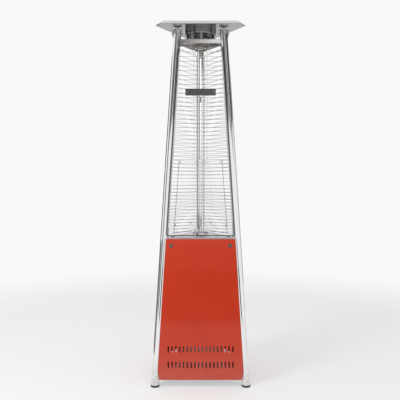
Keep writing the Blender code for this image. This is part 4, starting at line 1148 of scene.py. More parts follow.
def makeCap():
    look = topLook
    top, rim = tower["height"], tower["height"] - look["rimHeight"]
    wide, lift = look["rimInset"], look["rimHeight"]
    # loops from the rolled hem, up the two-step rim, to a barely crowned top
    loops = [(0.0042, rim + 0.003), (0.004, rim + 0.0012), (0.0028, rim + 0.0002), (0.0014, rim),
             (0.0003, rim + 0.0009), (0.0, rim + 0.0024), (0.0006, rim + 0.004),
             (wide * 0.3, rim + lift * 0.5), (wide * 0.4, rim + lift * 0.575),
             (wide * 0.92, top - 0.0022), (wide * 1.02, top - 0.0015), (wide * 1.15, top - 0.0011),
             (wide * 1.5, top - 0.0008), (wide * 1.9, top - 0.0006)]
    bm = bmesh.new()
    rings = [[bm.verts.new((x, towerY + y, z))
              for x, y in capOutline(inset, max(0.004, 0.01 - inset * 0.1))] for inset, z in loops]
    stitched(bm, rings)
    hub = bm.verts.new((0, towerY, top - 0.0003))
    for i in range(len(rings[-1])):
        bm.faces.new((rings[-1][i], rings[-1][(i + 1) % len(rings[-1])], hub))
    bm = walled(bm, look["capThick"], False)
    outward(bm)
    piece("cap_shell", bm, "capSteel", "reflector_cap", sharp=28)
    bm = plate([capOutline(0.0046, 0.009)], look["linerThick"], 0.0002, moved(0, towerY, rim - 0.0002))
    piece("cap_liner_sheet", bm, "linerSteel", "cap_liner")
    spots = [(Vector((postPoint(post, 2.3).x, postPoint(post, 2.3).y, top - 0.0016)), (0, 0, 1), (1, 0, 0))
             for post in postTurns]
    fasten("cap_screws", "flushHead", headSizes["cap"], spots)


def makeBrackets():
    look = topLook
    leg, thick, low = look["bracketLeg"], look["bracketThick"], look["bracketLow"]
    top = tower["height"] - look["rimHeight"] - 0.0012
    left, right = (-leg + 0.002, top - 0.004), (leg - 0.002, top - 0.004)
    outline = [(-leg - thick, low)] + arc(left, 0.004, 180, 90, 6) + arc(right, 0.004, 90, 0, 6)
    outline += [(leg + thick, low), (leg, low)]
    outline += arc(right, 0.002, 0, 90, 6) + arc(left, 0.002, 90, 180, 6) + [(-leg, low)]
    spots = []
    for post in postTurns:
        where = postPoint(post, look["boltHeight"])
        bm = plate([outline], look["bracketWide"], 0.0004,
                   moved(where.x, where.y, 0) @ spun(90, "X"))
        axis = Matrix.Translation(where) @ spun(90, "Y")
        for sign in (-1, 1):
            start = tower["postRadius"] - 0.0006
            way = axis if sign > 0 else axis @ Matrix.Rotation(math.pi, 4, "X")
            lathe(bm, [(0.003, leg), (0.003, start), (0, start), (0, leg)], 16, way, closed=False)
            collar(bm, 0.006, 0.0031, leg - 0.0002, leg - 0.0034, 24, way)
            spots.append((where + Vector((sign * (leg + thick), 0, 0)), (sign, 0, 0), (0, 0, 1)))
        piece("cap_bridge_" + post, bm, "deckSteel", "cap_bracket_" + post)
    fasten("bracket_bolts", "boltHead", headSizes["bracket"], spots)


def makeTop():
    look = topLook
    bm = foldedPan(tower["topPlate"], look["plateOutset"], look["plateFlange"], look["plateHole"],
                   look["plateThick"])
    # its downward faces take the darker screen steel, whose heat tint also reaches further
    bm.normal_update()
    for face in bm.faces:
        face.material_index = int(face.normal.z < -0.5)
    piece("top_plate_pan", bm, ["plateSteel", "screenSteel"], "top_plate")


makeGuards()
makeTube()
makePanes()
makeTop()
makeScreen()
makeCap()
makeBrackets()
print("guards, glass, top plate, screen and cap made")

# access door on the rear right side, with its hinges and quarter-turn latch
doorLook = {
    "hingeAlong": 0.008, "hingeOut": 0.032, "hingeHeights": (0.2, 0.78), "hingeLength": 0.06,
    "barrel": 0.005, "bore": 0.0026, "pin": 0.0022, "extraGap": 0.004, "latchHeight": 0.52,
    "latchFromPost": 0.062, "ribHeights": (0.33, 0.69),
}


# the hinges' own line: z up it, beside the rear right side's post
def hingeMatrix():
    look = doorLook
    foot = Vector((spacingAt(0) / 2 - look["hingeAlong"], -look["hingeOut"], 0))
    head = Vector((spacingAt(1) / 2 - look["hingeAlong"], -look["hingeOut"], slope))
    up = (head - foot).normalized()
    leaning = Matrix.Rotation(math.atan2(up.x, up.z), 4, "Y")
    return sideMatrix("rear_right") @ Matrix.Translation(foot) @ leaning


def makeDoor():
    look = doorLook
    latchX = -spacingAt(look["latchHeight"]) / 2 + look["latchFromPost"]
    hole = ring((latchX, look["latchHeight"] * slope), 0.0075, 24)
    bm = slottedPanel("rear_right", [hole], right=panelLook["fromPost"] + look["extraGap"])
    piece("door_enamel_panel", bm, panelLook["finish"], "access_door", "door")
    hinge = hingeMatrix()
    long = look["hingeLength"]
    leaves, rivets = bmesh.new(), []
    for height, label in zip(look["hingeHeights"], ("lower", "upper")):
        z = height * slope
        # door side: one knuckle rolled from a leaf that is riveted to the sheet
        addTo(leaves, block((0.03, 0.0016, long * 0.4), 0.0005,
                            hinge @ moved(-0.018, 0.0046, z + long * 0.3)))
        collar(leaves, look["barrel"], look["bore"], long * 0.1 + 0.0003, long * 0.5 - 0.0003, 32,
               hinge @ moved(0, 0, z))
        for x in (-0.013, -0.026):
            rivets.append((hinge @ Vector((x, 0.0037, z + long * 0.3)),
                           hinge.to_3x3() @ Vector((0, -1, 0)), (0, 0, 1)))
        # post side: two knuckles on a saddle that fits the tube
        saddle = bmesh.new()
        for start, length in ((-0.001, long * 0.1 + 0.0004), (long * 0.5 + 0.0006, long * 0.5)):
            collar(saddle, look["barrel"], look["bore"], start, start + length, 32, hinge @ moved(0, 0, z))
            addTo(saddle, block((0.0095, 0.003, length), 0.0005,
                                hinge @ moved(0.0062, 0.0034, z + start + length / 2)))
        addTo(saddle, block((0.01, 0.0026, long + 0.002), 0.0006,
                            hinge @ moved(0.01, 0.0052, z + long / 2)))
        piece("hinge_saddle_" + label, saddle, "deckSteel", "hinge_leaf_" + label)
        pin = lathe(bmesh.new(), [
            (0, -0.0032), (0.003, -0.0028), (0.0036, -0.0018), (0.0034, -0.0012), (look["pin"], -0.001),
            (look["pin"], long + 0.003), (0.0016, long + 0.004), (0, long + 0.0042)], 24,
            hinge @ moved(0, 0, z), closed=False)
        piece("hinge_rod_" + label, pin, "screwSteel", "hinge_pin_" + label)
    piece("door_hinge_leaves", leaves, "deckSteel", body="door")
    fasten("door_hinge_rivets", "rivetHead", headSizes["hinge"], rivets, body="door")
    # two stiffeners pressed into the inside of the door
    ribs = bmesh.new()
    for z in look["ribHeights"]:
        half = spacingAt(z) / 2 - 0.075
        addTo(ribs, block((2 * half, 0.005, 0.022), 0.0015, sideMatrix("rear_right") @ moved(
            0.004, -(panelLook["outset"] - 0.004), z * slope)))
    piece("door_stiffeners", ribs, panelLook["finish"], body="door")


latchLook = {"rose": 0.014, "wing": (0.009, 0.046), "cam": 0.032}


def makeLatch():
    look = latchLook
    x = -spacingAt(doorLook["latchHeight"]) / 2 + doorLook["latchFromPost"]
    here = facing("rear_right", x, 0, doorLook["latchHeight"])
    face = panelLook["outset"] + skin
    rose, (wide, tall) = look["rose"], look["wing"]
    bm = lathe(bmesh.new(), [
        (0, face + 0.0044), (rose * 0.62, face + 0.0042), (rose * 0.86, face + 0.0034),
        (rose - 0.0004, face + 0.0016), (rose, face + 0.0008), (rose - 0.0004, face), (0.0052, face),
        (0.0052, 0.0036), (0, 0.0036)], 48, here, closed=False)
    outline = roundCorners([
        (-wide / 2, -tall / 2), (wide / 2, -tall / 2), (wide * 0.72, 0), (wide / 2, tall / 2),
        (-wide / 2, tall / 2), (-wide * 0.72, 0)], 0.0035, 5)
    addTo(bm, plate([outline], 0.012, 0.0016, here @ moved(0, 0, face + 0.0095)))
    cam = rectangle(0, -look["cam"] / 2 + 0.0035, 0.014, look["cam"] + 0.007, 0.004)
    addTo(bm, plate([cam], 0.0026, 0.0004, here @ moved(0, 0, 0.004)))
    piece("latch_handle", bm, "zincCast", "door_latch", "latch")
    nut = [(here @ Vector((0, 0, 0.0026)), here.to_3x3() @ Vector((0, 0, -1)), (0, 0, 1))]
    fasten("latch_nut", "boltHead", headSizes["latch"], nut, body="latch")


knobLook = {"radius": 0.0205, "skirt": 0.023, "tall": 0.022, "push": 0.0062, "ticks": 11,
            "tickRing": 0.03, "tickLong": 0.0045, "tickWide": 0.0009}


# short raised marks on an arc round the knob
def tickTree():
    graph, given = newTree("dialTicks", [
        ("Radius", "Float"), ("Ticks", "Int"), ("Length", "Float"), ("Width", "Float"), ("Thick", "Float")])
    dial = graph.node("GeometryNodeCurveArc", {"mode": "RADIUS"}, {
        "Resolution": given["Ticks"], "Radius": given["Radius"], "Start Angle": math.radians(90),
        "Sweep Angle": math.radians(180)})
    points = graph.node("GeometryNodeCurveToPoints", {"mode": "EVALUATED"}, {"Curve": dial})
    tick = graph.geo("MeshCube", {
        "Size": graph.vector(X=given["Length"], Y=given["Width"], Z=given["Thick"])})
    turn = graph.turnTo("X", graph.geo("InputPosition"))
    ticks = graph.geo("InstanceOnPoints", {"Points": points, "Instance": tick, "Rotation": turn})
    return closeTree(graph, ticks, given)


def makeControls():
    side, z = "rear_left", plateLook["height"]
    face = panelLook["outset"] + skin + plateLook["thick"]
    holes = [ring((plateLook["knobX"], 0), 0.006, 32), ring((plateLook["buttonX"], 0), 0.0104, 40)]
    where = facing(side, 0, face - plateLook["thick"] / 2, z)
    bm = plate([rectangle(0, 0, plateLook["wide"], plateLook["high"], plateLook["radius"]), *holes],
               plateLook["thick"] - 0.0001, 0.0003, where)
    piece("control_face_plate", bm, plateLook["finish"], "control_plate")
    out = facing(side, 0, 0, z).to_3x3() @ Vector((0, 0, 1))
    wide, high = plateLook["screws"]
    screws = [(facing(side, sx * wide, face - 0.0002, z) @ Vector((0, sy * high, 0)), out, (0, 0, 1))
              for sx in (-1, 1) for sy in (-1, 1)]
    fasten("control_plate_screws", "socketHead", headSizes["plate"], screws)
    knobAt = facing(side, plateLook["knobX"], 0, z)
    ticks = runTree(tickTree(), loopMesh([[(0, 0), (0.001, 0)]]), "whitePaint", {
        "Radius": knobLook["tickRing"], "Ticks": knobLook["ticks"], "Length": knobLook["tickLong"],
        "Width": knobLook["tickWide"], "Thick": 0.0003})
    ticks.transform(knobAt @ moved(0, 0, face + 0.0001))
    piece("dial_ticks", ticks, "whitePaint")

    bm = lathe(bmesh.new(), [(0, 0.0438), (0.0034, 0.0436), (0.004, 0.043), (0.004, 0.03), (0.0034, 0.0296),
                             (0.0034, 0.0284), (0.004, 0.028), (0.004, -0.002), (0, -0.002)], 32, knobAt,
               closed=False)
    piece("valve_spindle", bm, "brass", "valve_stem", "stem")
    low, r, skirt = face + knobLook["push"], knobLook["radius"], knobLook["skirt"]
    top = low + knobLook["tall"]
    bm = lathe(bmesh.new(), [
        (0, top - 0.0006), (r * 0.55, top - 0.0004), (r * 0.74, top, 0.0002),
        (r * 0.8, top - 0.0006, 0.0006),
        (r * 0.86, top - 0.0026, 0.001), (r, low + 0.0046, 0.001), (r + 0.0006, low + 0.0032, 0.0002),
        (skirt - 0.0006, low + 0.0022), (skirt, low + 0.0014), (skirt, low + 0.0004),
        (skirt - 0.0005, low), (0.0046, low), (0.0046, 0.0446),
        (0, 0.0446)], 132, knobAt, closed=False, lobes=22)
    addTo(bm, block((0.0078, r * 1.72, 0.009), 0.0016, knobAt @ moved(0, 0, top + 0.0008), 3))
    piece("knob_grip", bm, "blackPlastic", "control_knob", "knob")
    line = block((0.0012, 0.0085, 0.0006), 0.0002, knobAt @ moved(0, r * 0.56, top + 0.0053))
    piece("knob_mark", line, "whitePaint", body="knob")

    buttonAt = facing(side, plateLook["buttonX"], 0, z)
    mouth = face + 0.0003
    bm = lathe(bmesh.new(), [
        (0.0093, mouth + 0.0028), (0.0104, mouth + 0.003), (0.0122, mouth + 0.0026),
        (0.0132, mouth + 0.0014, 0.0003), (0.0135, mouth + 0.0004, 0.0003), (0.0133, mouth),
        (0.01, mouth), (0.01, -0.03), (0, -0.03)], 96, buttonAt, closed=False, lobes=24)
    lathe(bm, [(0.0092, mouth + 0.0028), (0.0092, 0.0145), (0, 0.0145)], 48, buttonAt, closed=False)
    bmesh.ops.remove_doubles(bm, verts=bm.verts, dist=0.00012)
    collar(bm, 0.0135, 0.0102, 0.0205, 0.0165, 6, buttonAt)
    piece("igniter_housing", bm, "blackPlastic", "igniter_case")
    bm = lathe(bmesh.new(), [(0, 0.0336), (0.004, 0.0338), (0.0068, 0.0345), (0.008, 0.0341),
                             (0.0086, 0.033),
                             (0.0086, 0.02), (0, 0.02)], 48, buttonAt, closed=False)
    piece("igniter_cap", bm, "blackPlastic", "igniter_button", "button")

    # gas valve behind the plate: cast block, boss, hexagon fittings and its cover screws
    bm = block((0.0396, 0.0356, 0.0356), 0.0022, knobAt @ moved(0, 0, -0.024), 3)
    lathe(bm, [(0.011, -0.007), (0.011, 0.015), (0.0104, 0.0158), (0.005, 0.0158), (0.005, -0.007)],
          48, knobAt)
    lathe(bm, [(0, -0.056), (0.006, -0.056), (0.007, -0.054), (0.007, -0.04), (0, -0.04)], 32, knobAt,
          closed=False)
    down = knobAt @ moved(0, -0.016, -0.024) @ spun(90, "X")
    lathe(bm, [(0, 0.0198), (0.0066, 0.0198), (0.0075, 0.0186), (0.0075, 0.001), (0, 0.001)], 32, down,
          closed=False)
    collar(bm, 0.0106, 0.0076, 0.0095, 0.0035, 6, down)
    piece("gas_valve_body", bm, "zincCast", "gas_valve")
    spots = [(knobAt @ Vector((sx * 0.0145, sy * 0.0125, -0.0062)), knobAt.to_3x3() @ Vector((0, 0, 1)),
              (0, 0, 1)) for sx in (-1, 1) for sy in (-1, 1)]
    fasten("gas_valve_screws", "socketHead", headSizes["valve"], spots)
    keepNodes(valve_bracket="zincSheet", latch_catch="zincSheet")
    x, y, z = 0.06, towerY - 0.109, tower["deckTop"]
    bm = block((0.0396, 0.0236, 0.028), 0.0016, moved(x, y, z - 0.0178), 3)
    for aside in (-0.01, 0.01):
        addTo(bm, block((0.0063, 0.0008, 0.008), 0.0002, moved(x + aside, y, z - 0.0355)), 1)
    piece("tilt_switch_box", bm, ["blackPlastic", "brass"], "tilt_switch")


# the sheet is drawn flat from outlines of (along, up), cut into strips and rolled round z
def rolledSheet(outlines, radius, steps, thick, start):
    bm = runTree(filled, loopMesh(outlines), "bottleGrey")
    for i in range(1, steps):
        x = radius * math.pi * (2 * i / steps - 1)
        bmesh.ops.bisect_plane(bm, geom=bm.verts[:] + bm.edges[:] + bm.faces[:], dist=1e-7,
                               plane_co=(x, 0, 0), plane_no=(1, 0, 0))
    for v in bm.verts:
        a = v.co.x / radius + start
        v.co = Vector((radius * math.cos(a), radius * math.sin(a), v.co.y))
    bmesh.ops.remove_doubles(bm, verts=bm.verts, dist=0.00002)
    outward(bm)
    face = max(bm.faces, key=lambda f: f.calc_area())
    if face.normal.dot(Vector((*face.calc_center_median().xy, 0))) < 0:
        bmesh.ops.reverse_faces(bm, faces=bm.faces)
    return walled(bm, thick)


bottleLook = {"radius": 0.153, "neck": 0.402, "foot": 0.1, "collar": 0.103, "collarTop": 0.53, "turn": 150.0}


def makeBottle():
    look = bottleLook
    here = axisPlace
    r, turn = look["radius"], math.radians(look["turn"])
    outer = smoothRoute([(0.026, 0.3925, 0), (0.06, 0.387, 0), (0.105, 0.366, 0), (0.138, 0.333, 0),
                         (r - 0.001, 0.296, 0), (r, 0.27, 0)], 5)
    lower = smoothRoute([(r, 0.19, 0), (r - 0.0012, 0.164, 0), (0.14, 0.127, 0), (0.11, 0.104, 0),
                         (0.062, 0.095, 0), (0.0, 0.0925, 0)], 5)
    profile = [(0.0125, look["neck"] - 0.0006), (0.0195, look["neck"]), (0.0205, look["neck"] - 0.0008),
               (0.0215, 0.3945)]
    profile += [(p.x, p.y) for p in outer]
    profile += [(r - 0.0002, 0.2345), (r, 0.2335), (r - 0.0009, 0.2315), (r, 0.229)]
    profile += [(max(p.x, 0.0), p.y) for p in lower[:-1]] + [(0, 0.0925)]
    inside = [(0, 0.0955), (0.06, 0.098), (0.108, 0.1068), (0.137, 0.129), (0.15, 0.17), (0.15, 0.288),
              (0.135, 0.331), (0.103, 0.363), (0.06, 0.3838), (0.013, 0.39)]
    bm = lathe(bmesh.new(), profile + inside, 120, here)
    bmesh.ops.remove_doubles(bm, verts=bm.verts, dist=0.000001)
    piece("bottle_shell", bm, "bottleGrey", "gas_bottle")
    foot, low = look["foot"], shelfLook["top"] + 0.0003
    bm = lathe(bmesh.new(), [
        (foot, 0.099), (foot, low + 0.004), (foot + 0.0012, low + 0.002), (foot + 0.0006, low + 0.0003),
        (foot - 0.001, low), (foot - 0.003, low + 0.001), (foot - 0.003, 0.099)], 96, here)
    piece("bottle_base_ring", bm, "bottleGrey", "bottle_foot_ring")
    keepNodes(bottle_locating_ring="zincSheet")

    c, top, low = look["collar"], look["collarTop"], 0.3706
    cut = math.radians(46.7) * c
    end = math.pi * c
    shoulder = 0.4
    corners = [(-end, low), (end, low), (end, shoulder), (end - cut, shoulder), (end - cut, top),
               (-end + cut, top), (-end + cut, shoulder), (-end, shoulder)]
    # only the four corners of the opening are rounded, seven points for each
    outline = corners[:3] + roundCorners(corners, 0.01)[21:49] + corners[7:]
    grips = [rectangle(sign * c * math.radians(78.3), 0.492, c * math.radians(34.6), 0.034, 0.0165)
             for sign in (-1, 1)]
    bm = rolledSheet([outline, *grips], c, 96, 0.0028, turn + math.pi)
    bm.transform(here)
    rim = [here @ Vector(((c - 0.0014) * math.cos(a), (c - 0.0014) * math.sin(a), top - 0.0032))
           for a in [turn + math.radians(47.5 + (360 - 95) * i / 60) for i in range(61)]]
    sweep(bm, rim, 0.0032, 12)
    piece("bottle_guard_collar", bm, "bottleGrey", "bottle_collar")

    bm = lathe(bmesh.new(), [
        (0, 0.47), (0.0046, 0.4698), (0.005, 0.4692), (0.005, 0.4535), (0.0095, 0.453), (0.0132, 0.452),
        (0.014, 0.4505), (0.014, 0.444), (0.0128, 0.442), (0.0128, 0.414), (0.014, 0.412),
        (0.014, look["neck"] + 0.0004), (0.012, look["neck"] + 0.0003), (0.012, 0.3862), (0, 0.3862)],
        48, here, closed=False)
    spout = here @ Matrix.Rotation(turn, 4, "Z") @ moved(0.01, 0, 0.428) @ spun(90, "Y")
    lathe(bm, [(0, 0.028), (0.011, 0.028), (0.0125, 0.0266), (0.0125, 0.014), (0.0112, 0.0128),
               (0.0125, 0.0116), (0.0125, 0.001), (0, 0.001)], 48, spout, closed=False)
    piece("bottle_valve_body", bm, "brass", "bottle_valve")
    wheel = here @ moved(0, 0, 0.4565)
    bm = lathe(bmesh.new(), [
        (0.0058, 0.01), (0.0092, 0.0104), (0.0105, 0.0088), (0.015, 0.0074),
        (0.0215, 0.0104, 0.0006), (0.0246, 0.0112, 0.002), (0.0262, 0.01, 0.003), (0.0268, 0.007, 0.0034),
        (0.0262, 0.003, 0.003), (0.024, 0.0008, 0.0016), (0.012, 0.0002), (0.0058, 0.0002),
        (0.0058, 0.01)], 96, wheel, closed=False, lobes=8)
    bmesh.ops.remove_doubles(bm, verts=bm.verts, dist=0.000001)
    piece("bottle_wheel", bm, "blackPlastic", "bottle_handwheel", "handwheel")


hoseLook = {"radius": 0.0055, "pipe": 0.004, "sides": 20}


# a point told from the tower's axis
def fromTower(x, y, z):
    return Vector((x, towerY + y, z))


def makeGasLine():
    turn = math.radians(bottleLook["turn"])
    out = Vector((math.cos(turn), math.sin(turn), 0))
    aside = Vector((-math.sin(turn), math.cos(turn), 0))
    centre = fromTower(*(out * 0.082 + Vector((0, 0, 0.428))))
    here = Matrix.Translation(centre)
    bm = lathe(bmesh.new(), [
        (0, 0.017), (0.009, 0.017), (0.0135, 0.0165), (0.0145, 0.015), (0.0158, 0.011), (0.02, 0.0102),
        (0.03, 0.0092), (0.033, 0.008), (0.034, 0.0064), (0.034, 0.0044), (0.033, 0.0036), (0.033, 0.002),
        (0.034, 0.0012), (0.034, -0.002), (0.0325, -0.0048), (0.029, -0.009), (0.02, -0.012),
        (0.012, -0.0146), (0, -0.015)], 64, here, closed=False)
    nut = (Matrix.Translation(fromTower(*(out * 0.0385 + Vector((0, 0, 0.428)))))
           @ Matrix.Rotation(turn, 4, "Z") @ spun(90, "Y"))
    lathe(bm, [(0, 0.0002), (0.015, 0.0002), (0.0166, 0.0012, 0.0006), (0.017, 0.0024, 0.0014),
                (0.017, 0.015, 0.0014), (0.016, 0.0166, 0.0006), (0.01, 0.0176), (0, 0.0176)],
          96, nut, closed=False, lobes=12)
    tail = (Matrix.Translation(centre + aside * 0.03)
            @ Matrix.Rotation(turn + math.pi / 2, 4, "Z") @ spun(90, "Y"))
    lathe(bm, [(0, 0.0258), (0.0046, 0.0258), (0.006, 0.022), (0.0048, 0.0215), (0.0062, 0.017),
               (0.005, 0.0165), (0.0062, 0.011), (0.0062, 0.001), (0, 0.001)], 32, tail, closed=False)
    piece("regulator_body", bm, "zincCast", "regulator")

    z, x = plateLook["height"], plateLook["knobX"]
    start = centre + aside * 0.0575
    inlet = onSide("rear_left", x, -0.024, z - 0.0363)
    up = (onSide("rear_left", x, -0.024, z) - inlet).normalized()
    route = [start, start + aside * 0.03, fromTower(-0.128, -0.058, 0.462), fromTower(-0.14, -0.036, 0.53),
             fromTower(-0.128, 0.008, 0.61), inlet - up * 0.11, inlet - up * 0.045, inlet]
    path = smoothRoute(route, 10)
    bm = sweep(bmesh.new(), path, hoseLook["radius"], hoseLook["sides"])
    piece("gas_hose_tube", bm, "blackRubber", "gas_hose")
    # crimped sleeves at the hose's two ends
    bm = bmesh.new()
    for end, way in ((start, aside), (inlet, -up)):
        turned = Matrix.Translation(end) @ way.to_track_quat("Z", "Y").to_matrix().to_4x4()
        lathe(bm, [(0.0064, 0.0006), (0.007, 0.0012), (0.007, 0.005), (0.0064, 0.0056), (0.0064, 0.008),
                   (0.007, 0.0086), (0.007, 0.0125), (0.0064, 0.013), (0.0057, 0.013), (0.0057, 0.0006)],
              32, turned)
    piece("hose_sleeves", bm, "screwSteel")

    jet = fromTower(0, 0, tower["deckTop"] - burnerLook["deep"] - 0.0853)
    outlet = onSide("rear_left", x, -0.0572, z)
    inward = (onSide("rear_left", x, -0.08, z) - outlet).normalized()
    route = [outlet, outlet + inward * 0.02, outlet + inward * 0.05 - Vector((0, 0, 0.03)),
             Vector((-0.028, towerY + 0.01, jet.z - 0.04)), Vector((-0.006, towerY + 0.002, jet.z - 0.034)),
             jet - Vector((0, 0, 0.014)), jet]
    bm = sweep(bmesh.new(), smoothRoute(route, 8), hoseLook["pipe"], 16)
    piece("feed_pipe_bend", bm, "copper", "burner_feed_pipe")


burnerLook = {"ports": 28, "portRadius": 0.0011, "portRing": 0.029, "deep": 0.062}


# a ring of short port nozzles on the burner's shoulder
def portTree():
    graph, given = newTree("portRing", [
        ("Ports", "Int"), ("Ring", "Float"), ("Port Radius", "Float"), ("Height", "Float")])
    circle = graph.geo("MeshCircle", {"Vertices": given["Ports"], "Radius": given["Ring"]})
    circle = graph.geo("Transform", {"Geometry": circle, "Translation": graph.vector(Z=given["Height"])})
    flatWay = graph.node("ShaderNodeVectorMath", {"operation": "MULTIPLY"}, {
        0: graph.geo("InputPosition"), 1: (1, 1, 0)}, "Vector")
    lift = graph.node("ShaderNodeVectorMath", {"operation": "ADD"}, {0: flatWay, 1: (0, 0, 0.022)}, "Vector")
    rim = graph.geo("CurvePrimitiveCircle", {"Resolution": 12, "Radius": given["Port Radius"]})
    wall = graph.geo("CurvePrimitiveCircle", {"Resolution": 6, "Radius": given["Port Radius"] * 0.32})
    nozzle = graph.geo("CurveToMesh", {"Curve": rim, "Profile Curve": wall})
    ports = graph.geo("InstanceOnPoints", {
        "Points": circle, "Instance": nozzle, "Rotation": graph.turnTo("Z", lift)})
    return closeTree(graph, ports, given)


def makeBurner():
    look = burnerLook
    deck, here = tower["deckTop"], axisPlace
    low = deck - look["deep"]
    bm = lathe(bmesh.new(), [
        (0, deck + 0.016), (0.012, deck + 0.0157), (0.022, deck + 0.0146), (0.025, deck + 0.0134),
        (0.031, deck + 0.0085), (0.0336, deck + 0.0062), (0.034, deck + 0.005), (0.034, deck - 0.011),
        (0.033, deck - 0.013), (0.017, deck - 0.028), (0.015, deck - 0.031), (0.015, low),
        (0.011, low), (0.011, deck - 0.028), (0.03, deck - 0.011), (0.03, deck + 0.003),
        (0.022, deck + 0.01), (0, deck + 0.012)], 72, here, closed=False)
    piece("burner_cap_casting", bm, "burnerSteel", "burner_head")
    bm = runTree(portTree(), loopMesh([[(0, 0), (0.001, 0)]]), "burnerSteel", {
        "Ports": look["ports"], "Ring": look["portRing"], "Port Radius": look["portRadius"],
        "Height": deck + 0.0102})
    bm.transform(here)
    piece("burner_ports", bm, "burnerSteel")
    bm = lathe(bmesh.new(), [
        (0.0105, low + 0.008), (0.0105, low - 0.006), (0.0098, low - 0.024), (0.0105, low - 0.05),
        (0.013, low - 0.059), (0.013, low - 0.064), (0.0122, low - 0.065), (0.013, low - 0.066),
        (0.013, low - 0.085), (0.0045, low - 0.085), (0.0045, low - 0.082), (0.0115, low - 0.082),
        (0.0115, low - 0.061), (0.0085, low - 0.05), (0.0085, low + 0.008)], 48, here)
    piece("mixing_tube_casting", bm, "zincCast", "mixing_tube")
    keepNodes(burner_box="zincSheet", pilot_burner="screwSteel", thermocouple="copper",
              spark_lead="blackRubber", spark_electrode="whiteCeramic")


makeDoor()
makeLatch()
makeControls()
makeBottle()
makeGasLine()
makeBurner()
print("door, controls, bottle, gas line and burner made")

# camera: eye height and distance worked out from the convergence of the posts and wires
cameraSetup = {"lens": 50.0, "sensor": 36.0, "eyeHeight": 1.323, "distance": 3.74, "shiftX": -0.0015,
               "shiftY": -0.04875}


def makeCamera():
    data = bpy.data.cameras.new("photoCamera")
    data.lens = cameraSetup["lens"]
    data.sensor_width = cameraSetup["sensor"]
    data.shift_x = cameraSetup["shiftX"]
    data.shift_y = cameraSetup["shiftY"]
    data.clip_end = 60.0
    camera = bpy.data.objects.new("photoCamera", data)
    camera.location = (0.0, towerY - cameraSetup["distance"], cameraSetup["eyeHeight"])
    camera.rotation_euler = (math.radians(90), 0, 0)
    scene.collection.objects.link(camera)
    scene.camera = camera


# pale studio: floor with a soft shadow to the right, and dark cards that only polished metal sees
studioLook = {
    "reach": 14.0, "floor": (0.54, 0.54, 0.54), "glow": 0.4, "fade": (2.2, 4.6), "background": 0.945,
    "ambient": 0.7,
    "lights": [  # name, place, aimed at, size, watts
        ("key", (-2.6, -2.6, 3.4), (0.0, 0.0, 0.9), 1.6, 65.0),
        ("front", (0.8, -4.2, 2.2), (0.0, 0.0, 1.2), 2.4, 20.0)],
    "cards": [  # name, centre, width, height, turn about z, grey
        ("ceilingLeft", (-3.0, -5.0, 4.3), 6.0, 3.6, 0.0, (0.19, 0.17, 0.17)),
        ("ceilingRight", (3.0, -5.0, 5.6), 6.0, 2.2, 0.0, (0.08, 0.08, 0.08)),
        ("plateLeft", (-0.6, -4.9, 3.3), 1.2, 0.9, 0.0, (0.03, 0.01, 0.01)),
        ("ceilingNear", (2.1, -5.0, 3.5), 2.4, 2.0, 0.0, (0.08, 0.08, 0.08)),
        ("ceilingFar", (6.1, -5.0, 3.5), 3.0, 2.0, 0.0, (0.08, 0.08, 0.08)),
        ("roomFront", (0.0, -2.5, 0.27), 1.0, 0.54, 0.0, (0.02, 0.02, 0.02)),
        ("roomAbove", (0.0, -2.5, 0.69), 1.0, 0.3, 0.0, (0.35, 0.33, 0.34)),
        ("leftWing", (-2.74, -2.65, 1.7), 1.5, 3.4, -45.8, (0.12, 0.12, 0.12)),
        ("leftLow", (-1.17, 0.015, 0.46), 1.6, 0.92, 71.7, (0.19, 0.19, 0.19)),
        ("rightWing", (3.4, 0.6, 1.4), 0.5, 4.0, -75.0, (0.05, 0.05, 0.05)),
        ("backLeft", (-2.71, 2.52, 1.6), 4.5, 3.2, 50.0, (0.05, 0.05, 0.05)),
        ("backRight", (2.6, 3.7, 1.6), 3.1, 3.2, -35.0, (0.05, 0.05, 0.05)),
        ("rightHigh", (4.6, -1.0, 3.9), 6.0, 2.6, -90.0, (0.07, 0.07, 0.07))],
}


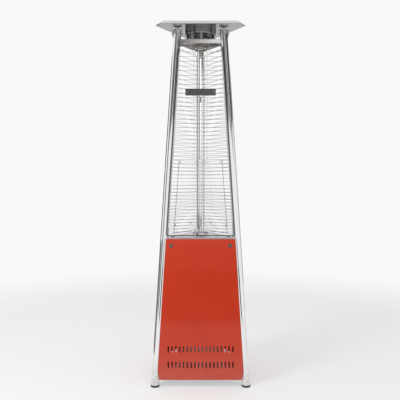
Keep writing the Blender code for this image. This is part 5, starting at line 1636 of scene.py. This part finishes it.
def makeStudio():
    look = studioLook
    world = bpy.data.worlds.new("studio")
    scene.world = world
    world.use_nodes = True
    graph = Graph(world.node_tree)
    path = {out: graph.node("ShaderNodeLightPath", out=out) for out in (
        "Is Camera Ray", "Is Glossy Ray", "Is Transmission Ray")}
    seen = path["Is Camera Ray"].maths("MAXIMUM", path["Is Camera Ray"], path["Is Glossy Ray"])
    seen = seen.maths("MAXIMUM", seen, path["Is Transmission Ray"])
    strength = seen * (look["background"] - look["ambient"]) + look["ambient"]
    sky = world.node_tree.nodes["Background"]
    graph.feed(sky.inputs["Color"], (1.0, 1.0, 1.0))
    graph.feed(sky.inputs["Strength"], strength)
    for name, place, aim, size, watts in look["lights"]:
        lamp = bpy.data.lights.new(name, "AREA")
        lamp.shape = "DISK"
        lamp.size = size
        lamp.energy = watts
        made = bpy.data.objects.new(name, lamp)
        made.location = place
        made.rotation_euler = (Vector(aim) - Vector(place)).to_track_quat("-Z", "Y").to_euler()
        made.visible_glossy = False
        scene.collection.objects.link(made)


# a square card, which its matrix sizes and turns
def flatCard(name, half, where):
    bm = bmesh.new()
    bmesh.ops.create_grid(bm, x_segments=1, y_segments=1, size=half)
    bm.transform(where)
    made = bpy.data.objects.new(name, asMesh(name, bm))
    scene.collection.objects.link(made)
    return made


# floor: plain and pale, and far from the part it turns into the backdrop
def makeFloor():
    floor = flatCard("studioFloor", studioLook["reach"], Matrix.Identity(4))
    look = studioLook
    paint = Finish("floorPaint", Roughness=0.85, Specular_IOR_Level=0.0, Emission_Strength=1.0)
    pale = paint.mix(paint.noise(2.0) * 0.04, look["floor"], (0.44, 0.44, 0.44))
    reach = paint.node("ShaderNodeVectorMath", {"operation": "LENGTH"}, {0: paint.coords}, "Value")
    far = reach.above(sum(look["fade"]) / 2, (look["fade"][1] - look["fade"][0]) / 2)
    floor.data.materials.append(paint.set(
        Base_Color=paint.mix(far, pale, (0, 0, 0)),
        Emission_Color=paint.mix(far, (look["glow"],) * 3, (look["background"],) * 3)))
    for name, centre, wide, high, turn, grey in look["cards"]:
        made = flatCard(name, 0.5, Matrix.Translation(centre) @ spun(turn, "Z") @ spun(90, "X")
                        @ Matrix.Diagonal((wide, high, 1, 1)))
        made.data.materials.append(Finish(
            name, Base_Color=(0, 0, 0), Specular_IOR_Level=0.0, Emission_Color=grey,
            Emission_Strength=1.0).material)
        made.visible_camera = False
        made.visible_diffuse = False
        made.visible_shadow = False
        made.visible_transmission = False


makeCamera()
makeStudio()
makeFloor()
scene.view_settings.view_transform = "Standard"
